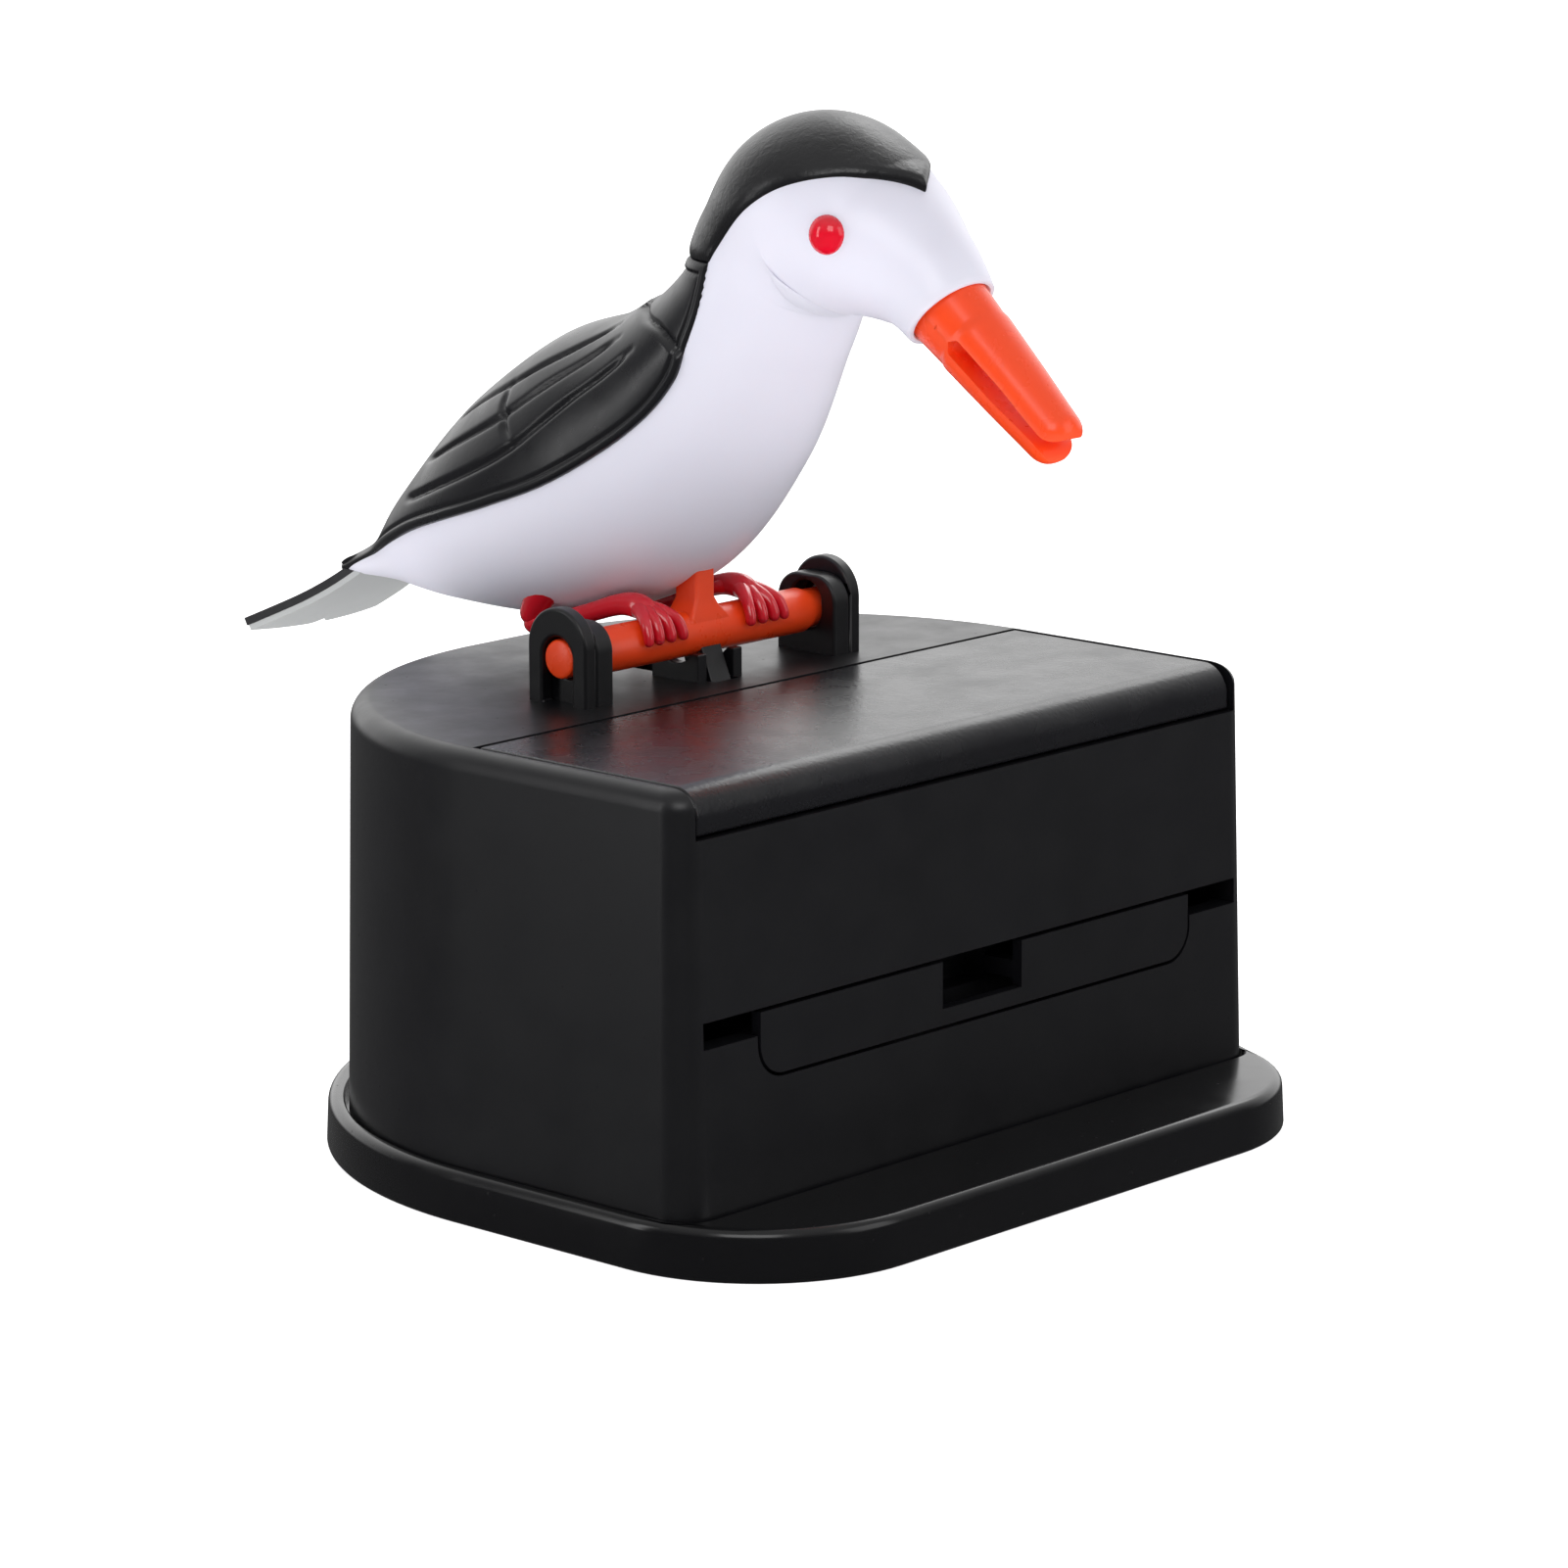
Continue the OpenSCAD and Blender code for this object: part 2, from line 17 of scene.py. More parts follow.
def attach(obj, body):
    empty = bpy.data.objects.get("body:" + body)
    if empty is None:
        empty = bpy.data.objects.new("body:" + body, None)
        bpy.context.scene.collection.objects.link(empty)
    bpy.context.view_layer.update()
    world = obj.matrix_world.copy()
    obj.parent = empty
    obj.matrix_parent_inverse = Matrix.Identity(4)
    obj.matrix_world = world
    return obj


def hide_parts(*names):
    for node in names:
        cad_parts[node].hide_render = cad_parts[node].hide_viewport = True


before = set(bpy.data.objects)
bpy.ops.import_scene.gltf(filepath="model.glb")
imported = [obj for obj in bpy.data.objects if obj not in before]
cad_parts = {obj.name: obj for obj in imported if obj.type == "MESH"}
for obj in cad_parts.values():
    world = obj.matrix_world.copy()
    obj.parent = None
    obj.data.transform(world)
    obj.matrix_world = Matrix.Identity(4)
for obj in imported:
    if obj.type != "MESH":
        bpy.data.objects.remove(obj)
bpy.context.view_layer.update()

BEVEL_FROM_DEG = 35
BEAK_TILT_DEG = 39.6
LOG = logging.getLogger("pecking_bird")
MM = 0.001
Array = np.ndarray
Colour = tuple[float, float, float, float]


# ---------------------------------------------------------------- materials

def hex_to_linear(code: str) -> Colour:
    """Turns an sRGB hex colour into linear red, green, blue and alpha.

    Args:
        code: six hex digits, such as "e6e4f2".

    Returns:
        Linear colour with alpha 1.
    """
    srgb = np.array([int(code[i:i + 2], 16) for i in (0, 2, 4)]) / 255.0
    linear = np.where(srgb <= 0.04045, srgb / 12.92, ((srgb + 0.055) / 1.055) ** 2.4)
    return (float(linear[0]), float(linear[1]), float(linear[2]), 1.0)


def add_node(tree: bpy.types.NodeTree, kind: str, inputs: dict | None = None,
             **settings: object) -> bpy.types.Node:
    """Adds one node with its settings, values and links.

    Args:
        tree: the node tree it goes into.
        kind: the node's type name.
        inputs: input name or number to a value, or to the socket that feeds it.
        settings: properties of the node itself.

    Returns:
        The new node.
    """
    node = tree.nodes.new(kind)
    for name, value in settings.items():
        setattr(node, name, value)
    for key, value in (inputs or {}).items():
        if isinstance(value, bpy.types.NodeSocket):
            tree.links.new(value, node.inputs[key])
        else:
            node.inputs[key].default_value = value
    return node


class Grain(Enum):
    """How the mould's surface was made."""

    POLISHED = "polished"
    SATIN = "satin"
    SPARKED = "spark eroded"
    WRINKLED = "wrinkled"


@dataclass(frozen=True)
class Plastic:
    """A moulded plastic: colour with slight mottling, uneven gloss, and the mould's grain as bump.

    The grain is noise of grain_mm between bumps and depth_mm deep. A slow swell stands for sink marks. Specks
    dust_mm apart raise the roughness by dust. Glow is light scattered inside, as deep as glow_mm.
    """

    name: str
    slot: str
    colour: str
    mottle: str
    grain: Grain
    roughness: float
    spread: float = 0.06
    grain_mm: float = 0.35
    depth_mm: float = 0.01
    swell_mm: float = 9.0
    swell_depth_mm: float = 0.012
    ior: float = 1.5
    coat: float = 0.0
    glow: float = 0.0
    glow_mm: float = 2.0
    dust: float = 0.0
    dust_mm: float = 2.2
    flow_mm: float = 14.0
    wear_mm: float = 5.0

    def material(self) -> bpy.types.Material:
        """Builds the node material, or returns the one already made."""
        made = bpy.data.materials.get(self.name)
        if made:
            return made
        made = bpy.data.materials.new(self.name)
        made.use_nodes = True
        tree = made.node_tree
        tree.nodes.clear()
        place = add_node(tree, "ShaderNodeTexCoord").outputs["Object"]
        colour = self._colour(tree, place)
        rough = self._roughness(tree, place)
        bump = self._bump(tree, place)
        shader = add_node(tree, "ShaderNodeBsdfPrincipled", {
            "Base Color": colour, "Roughness": rough, "Normal": bump, "IOR": self.ior,
            "Coat Weight": self.coat, "Coat Roughness": 0.08,
            "Subsurface Weight": self.glow, "Subsurface Radius": (1.0, 0.75, 0.7),
            "Subsurface Scale": self.glow_mm * MM})
        add_node(tree, "ShaderNodeOutputMaterial", {"Surface": shader.outputs["BSDF"]})
        made.diffuse_color = hex_to_linear(self.colour)
        return made

    @staticmethod
    def _noise(tree: bpy.types.NodeTree, place: bpy.types.NodeSocket, spacing_mm: float,
               detail: float = 2.0, roughness: float = 0.5) -> bpy.types.NodeSocket:
        """Noise whose bumps are spacing_mm apart: scale is one over the spacing in metres."""
        return add_node(tree, "ShaderNodeTexNoise", {"Vector": place, "Scale": 1.0 / (spacing_mm * MM),
                                                     "Detail": detail, "Roughness": roughness}).outputs["Fac"]

    def _colour(self, tree: bpy.types.NodeTree, place: bpy.types.NodeSocket) -> bpy.types.NodeSocket:
        """Base colour mixed towards the mottle colour by slow noise, as melt flow leaves it.

        Args:
            tree: the material's node tree.
            place: socket that gives the point's place.

        Returns:
            The colour's socket.
        """
        return add_node(tree, "ShaderNodeMix", {
            "Factor": self._noise(tree, place, self.flow_mm), "A": hex_to_linear(self.colour),
            "B": hex_to_linear(self.mottle)}, data_type="RGBA").outputs["Result"]

    def _roughness(self, tree: bpy.types.NodeTree, place: bpy.types.NodeSocket) -> bpy.types.NodeSocket:
        """Roughness spread either side of its mean by noise, and raised by dust specks.

        Args:
            tree: the material's node tree.
            place: socket that gives the point's place.

        Returns:
            The roughness's socket.
        """
        worn = add_node(tree, "ShaderNodeMapRange", {
            "Value": self._noise(tree, place, self.wear_mm, 4.0, 0.6), "From Min": 0.3, "From Max": 0.7,
            "To Min": self.roughness - self.spread, "To Max": self.roughness + self.spread}).outputs["Result"]
        if self.dust <= 0.0:
            return worn
        cells = add_node(tree, "ShaderNodeTexVoronoi", {"Vector": place, "Scale": 1.0 / (self.dust_mm * MM),
                                                        "Randomness": 1.0}).outputs["Distance"]
        speck = add_node(tree, "ShaderNodeMapRange", {"Value": cells, "From Min": 0.04, "From Max": 0.07,
                                                      "To Min": self.dust, "To Max": 0.0}).outputs["Result"]
        return add_node(tree, "ShaderNodeMath", {0: worn, 1: speck}, operation="ADD",
                        use_clamp=True).outputs["Value"]

    def _bump(self, tree: bpy.types.NodeTree, place: bpy.types.NodeSocket) -> bpy.types.NodeSocket:
        """Slow swell first, then the mould's grain on top of it.

        Args:
            tree: the material's node tree.
            place: socket that gives the point's place.

        Returns:
            The normal's socket.
        """
        swell = add_node(tree, "ShaderNodeBump", {"Height": self._noise(tree, place, self.swell_mm, 1.0),
                                                  "Strength": 1.0, "Distance": self.swell_depth_mm * MM})
        if self.grain is Grain.POLISHED:
            return swell.outputs["Normal"]
        if self.grain is Grain.WRINKLED:
            height = add_node(tree, "ShaderNodeTexNoise", {
                "Vector": place, "Scale": 1.0 / (self.grain_mm * MM), "Detail": 3.0, "Roughness": 0.55,
                "Distortion": 0.9}).outputs["Fac"]
        elif self.grain is Grain.SPARKED:
            height = self._noise(tree, place, self.grain_mm, 3.0, 0.65)
        else:
            height = self._noise(tree, place, self.grain_mm, 1.0)
        return add_node(tree, "ShaderNodeBump", {"Height": height, "Strength": 1.0,
                                                 "Distance": self.depth_mm * MM,
                                                 "Normal": swell.outputs["Normal"]}).outputs["Normal"]


@dataclass(frozen=True)
class Steel:
    """Zinc-plated steel: full metal, with the plating's fine grain as bump and cloudy gloss."""

    name: str
    slot: str
    colour: str
    roughness: float
    grain_mm: float = 0.25
    depth_mm: float = 0.004
    cloud_mm: float = 4.0

    def material(self) -> bpy.types.Material:
        """Builds the node material, or returns the one already made."""
        made = bpy.data.materials.get(self.name)
        if made:
            return made
        made = bpy.data.materials.new(self.name)
        made.use_nodes = True
        tree = made.node_tree
        tree.nodes.clear()
        place = add_node(tree, "ShaderNodeTexCoord").outputs["Object"]
        grain = add_node(tree, "ShaderNodeTexNoise", {"Vector": place, "Scale": 1.0 / (self.grain_mm * MM),
                                                      "Detail": 2.0}).outputs["Fac"]
        cloud = add_node(tree, "ShaderNodeTexNoise", {"Vector": place,
                                                      "Scale": 1.0 / (self.cloud_mm * MM)}).outputs["Fac"]
        rough = add_node(tree, "ShaderNodeMapRange", {"Value": cloud, "To Min": self.roughness - 0.08,
                                                      "To Max": self.roughness + 0.08}).outputs["Result"]
        bump = add_node(tree, "ShaderNodeBump", {"Height": grain, "Strength": 1.0,
                                                 "Distance": self.depth_mm * MM}).outputs["Normal"]
        shader = add_node(tree, "ShaderNodeBsdfPrincipled", {
            "Base Color": hex_to_linear(self.colour), "Metallic": 1.0, "Roughness": rough, "Normal": bump})
        add_node(tree, "ShaderNodeOutputMaterial", {"Surface": shader.outputs["BSDF"]})
        made.diffuse_color = hex_to_linear(self.colour)
        return made


Finish = Plastic | Steel

# High-impact polystyrene from a polished mould: deep black with clear, slightly wavy reflections.
BASE_BLACK = Plastic("black_polystyrene_gloss", "base_black", "08080a", "0b0b0e", Grain.POLISHED, 0.2, 0.05,
                     swell_mm=12.0, dust=0.25)
# ABS from a satin mould: broad soft reflections on the walls.
CASE_BLACK = Plastic("black_abs_satin", "case_black", "0d0d10", "101014", Grain.SATIN, 0.36, 0.05,
                     grain_mm=0.4, depth_mm=0.004, dust=0.2)
# ABS from a spark-eroded mould: a fine pebble that breaks highlights up, drawn at twice its real 0.2 mm so
# that it shows.
LID_BLACK = Plastic("black_abs_spark_textured", "lid_black", "0d0d10", "121217", Grain.SPARKED, 0.27, 0.05,
                    grain_mm=0.45, depth_mm=0.03)
# The case's ABS and mould finish, on the tray; the lever gets it too, and there its black is painted shade
# where it shows through the slot.
TRAY_BLACK = Plastic("black_abs_tray", "tray_black", "0d0d10", "101014", Grain.SATIN, 0.36, 0.05,
                     grain_mm=0.4, depth_mm=0.004, dust=0.2)
# Recycled ABS, never seen from outside.
FRAME_GREY = Plastic("grey_abs_recycled", "frame_grey", "3a3a3f", "44444a", Grain.SATIN, 0.5)
# Acetal: milky and slippery.
ROCKER_NATURAL = Plastic("natural_acetal", "rocker_natural", "e2decf", "d8d3c2", Grain.SATIN, 0.3, glow=0.2)
# Zinc-plated steel wire and screws.
PLATED_STEEL = Steel("zinc_plated_steel", "steel", "c9cacc", 0.32)
# Polystyrene in saturated orange; light carries through the thin lobes of the beak.
PERCH_ORANGE = Plastic("orange_polystyrene", "perch_orange", "ff4e1c", "f9440f", Grain.POLISHED, 0.3, 0.05,
                       glow=0.12, glow_mm=1.5)
BEAK_ORANGE = Plastic("orange_polystyrene_beak", "beak_orange", "ff5222", "fb4614", Grain.POLISHED, 0.27,
                      0.05, glow=0.15, glow_mm=1.5)
# White ABS, faintly blue from its brightener; soft sheen and a little depth.
BODY_WHITE = Plastic("white_abs", "body_white", "e3e2f0", "e8e6f3", Grain.POLISHED, 0.34, 0.05,
                     glow=0.12, glow_mm=2.5, swell_depth_mm=0.02)
# Black ABS of the folded wings: satin, with slow waves in its reflections.
COVER_BLACK = Plastic("black_abs_wings", "cover_black", "111114", "17171b", Grain.SATIN, 0.3, 0.06,
                      grain_mm=0.5, depth_mm=0.006, swell_mm=6.0, swell_depth_mm=0.02)
# Black ABS of the cap: a leathery wrinkle about 0.7 mm apart.
CAP_BLACK = Plastic("black_abs_wrinkled", "cap_black", "111113", "17171a", Grain.WRINKLED, 0.3, 0.05,
                    grain_mm=0.7, depth_mm=0.05)
# Stamped PVC film: a dull sheen, rubbed unevenly; black above, and pale grey below, where the grey is painted
# shade on film that is white.
TAIL_BLACK = Plastic("black_pvc_film", "tail_black", "1b1b1e", "26262a", Grain.SATIN, 0.34, 0.08,
                     grain_mm=0.5, depth_mm=0.01)
# Painted shade: the underside's white film is given the pale grey it shows in shade.
TAIL_PAINTED_SHADE = Plastic("pvc_film_painted_shade", "tail_grey", "c6c8c8", "bcbebf", Grain.SATIN, 0.5, 0.05,
                    grain_mm=0.6, depth_mm=0.01)
# Tinted acrylic beads: very glossy, with light inside.
EYE_RED = Plastic("red_acrylic", "eye_red", "e8102c", "d80c28", Grain.POLISHED, 0.08, 0.03, ior=1.49,
                  glow=0.3, glow_mm=0.8, coat=0.4)
# Red enamel over plastic: wet gloss with small runs.
LEG_RED = Plastic("red_gloss_enamel", "leg_red", "e2182c", "d01024", Grain.POLISHED, 0.16, 0.05,
                  swell_mm=1.6, swell_depth_mm=0.05, coat=0.6, glow=0.05, glow_mm=0.6)


# ---------------------------------------------------------------- surfaces

@dataclass
class Surface:
    """Points in millimetres and the faces that join them.

    Args:
        points: one row of x, y, z for each point.
        faces: blocks of faces, each block an array of point numbers with one row for each face.
    """

    points: Array
    faces: list[Array]

    def __add__(self, other: "Surface") -> "Surface":
        """Both surfaces as one, the second's point numbers moved past the first's.

        Args:
            other: the second surface.

        Returns:
            The joined surface.
        """
        step = len(self.points)
        moved = [block + step for block in other.faces]
        return Surface(np.vstack([self.points, other.points]), self.faces + moved)

    def mirrored(self) -> "Surface":
        """The same surface with x negated and every face turned back to face outwards."""
        return Surface(self.points * np.array([-1.0, 1.0, 1.0]), [block[:, ::-1] for block in self.faces])


def grid_faces(rows: int, columns: int, wrap: bool) -> Array:
    """Quads between neighbouring points of a grid whose points are numbered row by row.

    Args:
        rows: points along.
        columns: points across.
        wrap: whether the last column is joined to the first.

    Returns:
        Four point numbers for each quad.
    """
    across = columns if wrap else columns - 1
    row, column = np.meshgrid(np.arange(rows - 1), np.arange(across), indexing="ij")
    following = (column + 1) % columns
    corners = [row * columns + column, row * columns + following, (row + 1) * columns + following,
               (row + 1) * columns + column]
    return np.stack(corners, -1).reshape(-1, 4)


def loft(rings: Array) -> Surface:
    """Closed skin through rings of equally many points: each is joined to the next, and both ends are filled.

    Args:
        rings: array of ring, point and x, y, z.

    Returns:
        The skin.
    """
    count, sides = rings.shape[:2]
    ends = [np.arange(sides)[None, ::-1], (count - 1) * sides + np.arange(sides)[None, :]]
    return Surface(rings.reshape(-1, 3), [grid_faces(count, sides, True), *ends])


def arc(centre: tuple[float, float], radius: float, start: float, end: float, count: int) -> Array:
    """Points on a circle from start to end degrees: centre plus radius times cosine and sine."""
    angle = np.radians(np.linspace(start, end, count))
    return np.stack([centre[0] + radius * np.cos(angle), centre[1] + radius * np.sin(angle)], -1)


def d_outline(width: float, front: float, back: float, front_r: float, back_r: float) -> Array:
    """A plan with a straight front, small front corners and a wide round back, always 136 points.

    Args:
        width: size along X.
        front: y of the front edge.
        back: y of the back.
        front_r: radius of the front corners.
        back_r: radius of the back corners.

    Returns:
        Points as x, y, anticlockwise from the left end of the front-left corner.
    """
    half = width / 2
    return np.vstack([arc((-half + front_r, front + front_r), front_r, 180, 270, 20),
                      arc((half - front_r, front + front_r), front_r, 270, 360, 20),
                      arc((half - back_r, back - back_r), back_r, 0, 90, 48),
                      arc((-half + back_r, back - back_r), back_r, 90, 180, 48)])


def at_height(outline: Array, z: float) -> Array:
    """A flat outline lifted to height z."""
    return np.column_stack([outline, np.full(len(outline), z)])


def prism(side: Array, x0: float, x1: float) -> Surface:
    """A closed side view of y, z points, carried along X from x0 to x1."""
    low, high = (np.column_stack([np.full(len(side), x), side]) for x in (x0, x1))
    return loft(np.stack([low, high]))


def catmull_rom(knots: Array, u: Array) -> Array:
    """Smooth curve through knots, cubic in each span; a knot's slope is half the step between its neighbours.

    Args:
        knots: one row for each knot.
        u: positions, 0 at the first knot and one more at each that follows.

    Returns:
        One row for each position.
    """
    span = np.clip(np.floor(u).astype(int), 0, len(knots) - 2)
    t = (u - span)[:, None]
    a, b, c, d = (knots[np.clip(span + k, 0, len(knots) - 1)] for k in (-1, 0, 1, 2))
    square, cube = 2 * a - 5 * b + 4 * c - d, 3 * b - a - 3 * c + d
    return 0.5 * (2 * b + (c - a) * t + square * t ** 2 + cube * t ** 3)


def tube(path: Array, radii: Array, sides: int = 18, rings: int = 44) -> Surface:
    """A round limb along a smooth path, its radius easing from knot to knot, closed with domed ends.

    Each ring is a circle square to the path. Near an end its radius falls as the square root of 1 - t
    squared, down to a fiftieth.

    Args:
        path: knots of the path.
        radii: radius at each knot.
        sides: points round a ring.
        rings: rings along the path.

    Returns:
        The closed limb.
    """
    knots = np.column_stack([path, radii])
    u = np.linspace(0, len(path) - 1, rings)
    line = catmull_rom(knots, u)
    middle, radius = line[:, :3], line[:, 3]
    along = np.gradient(middle, axis=0)
    along /= np.linalg.norm(along, axis=1, keepdims=True)
    run = np.concatenate([[0], np.cumsum(np.linalg.norm(np.diff(middle, axis=0), axis=1))])
    ends = np.minimum(run, run[-1] - run)
    t = 1 - np.clip(ends / np.maximum(radius, 1e-6), 0, 1)
    radius = radius * np.sqrt(np.maximum(1 - t ** 2, 0.0004))
    side = np.cross(along, np.array([0.0, 0.0, 1.0]))
    side /= np.linalg.norm(side, axis=1, keepdims=True)
    up = np.cross(side, along)
    turn = np.linspace(0, 2 * np.pi, sides, endpoint=False)
    spoke = np.cos(turn)[None, :, None] * side[:, None] + np.sin(turn)[None, :, None] * up[:, None]
    return loft(middle[:, None] + radius[:, None, None] * spoke)


def smooth_step(x: Array, low: float, high: float) -> Array:
    """Rises from 0 at low to 1 at high as 3t squared minus 2t cubed."""
    t = np.clip((x - low) / (high - low), 0, 1)
    return t * t * (3 - 2 * t)


class Edge(Enum):
    """How far a piece's corners are rounded, in millimetres."""

    SHARP = 0.0
    CRISP = 0.12
    SOFT = 0.3


def make_mesh(name: str, surface: Surface) -> bpy.types.Object:
    """Puts a surface into a new object in metres, merges doubled points and turns faces outwards.

    Args:
        name: the object's name.
        surface: its shape in millimetres.

    Returns:
        The new object, at the origin.
    """
    mesh = bpy.data.meshes.new(name)
    faces = [face for block in surface.faces for face in block.tolist()]
    mesh.from_pydata((surface.points * MM).tolist(), [], faces)
    work = bmesh.new()
    work.from_mesh(mesh)
    bmesh.ops.remove_doubles(work, verts=work.verts, dist=1e-7)
    bmesh.ops.recalc_face_normals(work, faces=work.faces)
    work.to_mesh(mesh)
    work.free()
    piece = bpy.data.objects.new(name, mesh)
    bpy.context.scene.collection.objects.link(piece)
    return piece


def mirror_piece(piece: bpy.types.Object, name: str) -> bpy.types.Object:
    """Copies a piece to the other side of the middle plane, with its faces turned outwards again.

    Args:
        piece: the piece on the near side.
        name: the copy's name.

    Returns:
        The copy.
    """
    work = bmesh.new()
    work.from_mesh(piece.data)
    bmesh.ops.scale(work, vec=(-1, 1, 1), verts=work.verts)
    bmesh.ops.reverse_faces(work, faces=work.faces)
    mesh = bpy.data.meshes.new(name)
    work.to_mesh(mesh)
    work.free()
    twin = bpy.data.objects.new(name, mesh)
    bpy.context.scene.collection.objects.link(twin)
    return twin


def join_meshes(piece: bpy.types.Object, other: bpy.types.Object) -> None:
    """Adds another object's mesh to a piece's.

    Args:
        piece: the piece that stays.
        other: the object that is added, and then removed.
    """
    work = bmesh.new()
    work.from_mesh(piece.data)
    work.from_mesh(other.data)
    work.to_mesh(piece.data)
    work.free()
    bpy.data.objects.remove(other)


def settle(piece: bpy.types.Object) -> None:
    """Replaces a piece's mesh with the mesh its modifiers give, and drops the modifiers.

    Args:
        piece: the piece.
    """
    result = bpy.data.meshes.new_from_object(piece.evaluated_get(bpy.context.evaluated_depsgraph_get()))
    piece.modifiers.clear()
    piece.data = result


def cut(piece: bpy.types.Object, tools: list[Surface]) -> None:
    """Takes closed tools out of a piece's mesh, one after another.

    Args:
        piece: the piece that is cut.
        tools: closed surfaces.
    """
    for tool in tools:
        cutter = make_mesh("cutter", tool)
        taking = piece.modifiers.new("cut", "BOOLEAN")
        taking.operation, taking.solver, taking.object = "DIFFERENCE", "EXACT", cutter
        settle(piece)
        bpy.data.objects.remove(cutter)


def finish_piece(piece: bpy.types.Object, finish: Finish, body: str, replaced: tuple[str, ...] = (),
                 edge: Edge = Edge.SHARP, sharp_deg: float = 32.0) -> None:
    """Shades a piece, rounds its corners, dresses it and lets it ride on its body.

    Args:
        piece: the object.
        finish: its material.
        body: the CAD body that it rides on.
        replaced: CAD nodes that it stands for.
        edge: how far its corners are rounded.
        sharp_deg: angle past which two faces meet in a hard corner.
    """
    piece.data.materials.clear()
    piece.data.materials.append(finish.material())
    piece.data.shade_smooth()
    piece.data.set_sharp_from_angle(angle=math.radians(sharp_deg))
    if edge.value:
        bevel = piece.modifiers.new("corners", "BEVEL")
        bevel.width, bevel.segments, bevel.limit_method = edge.value * MM, 3, "ANGLE"
        bevel.angle_limit = math.radians(BEVEL_FROM_DEG)
        bevel.harden_normals = True
    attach(piece, body)
    if replaced:
        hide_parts(*replaced)
    LOG.info("%s: %d faces, %s on %s", piece.name, len(piece.data.polygons), finish.name, body)


# ---------------------------------------------------------------- base and case

@dataclass
class Base:
    """The glossy foot: a D-shaped plate with a soft top edge and a shallow recess that the case stands in."""

    width: float = 75.0
    front: float = -36.4
    back: float = 36.4
    height: float = 4.4
    front_r: float = 15.8
    back_r: float = 37.4
    edge_r: float = 0.9
    foot_r: float = 0.35
    lean: float = 0.15
    recess: float = 1.0
    gap: float = 0.5
    lip: float = 0.15

    def outline(self, inset: float) -> Array:
        """The plate's outline drawn inwards by inset."""
        return d_outline(self.width - 2 * inset, self.front + inset, self.back - inset, self.front_r - inset,
                         self.back_r - inset)

    def build(self, case: "Case") -> None:
        """Lofts underside, leaning side, rounded top edge, flange and recess in one skin.

        Args:
            case: the case, whose outline the recess follows.
        """
        turn = np.radians(np.linspace(0, 90, 8))
        rings = [at_height(self.outline(self.foot_r * (1 - math.sin(a))), self.foot_r * (1 - math.cos(a)))
                 for a in turn]
        rings += [at_height(self.outline(self.lean + self.edge_r * (1 - math.cos(a))),
                            self.height - self.edge_r * (1 - math.sin(a))) for a in turn]
        mouth, inner = case.outline(-self.gap), case.outline(-self.gap + self.lip)
        rings += [at_height(mouth, self.height), at_height(inner, self.height - self.lip),
                  at_height(inner, self.height - self.recess)]
        finish_piece(make_mesh("base_foot", loft(np.stack(rings))), BASE_BLACK, "case", ("base_plate",))


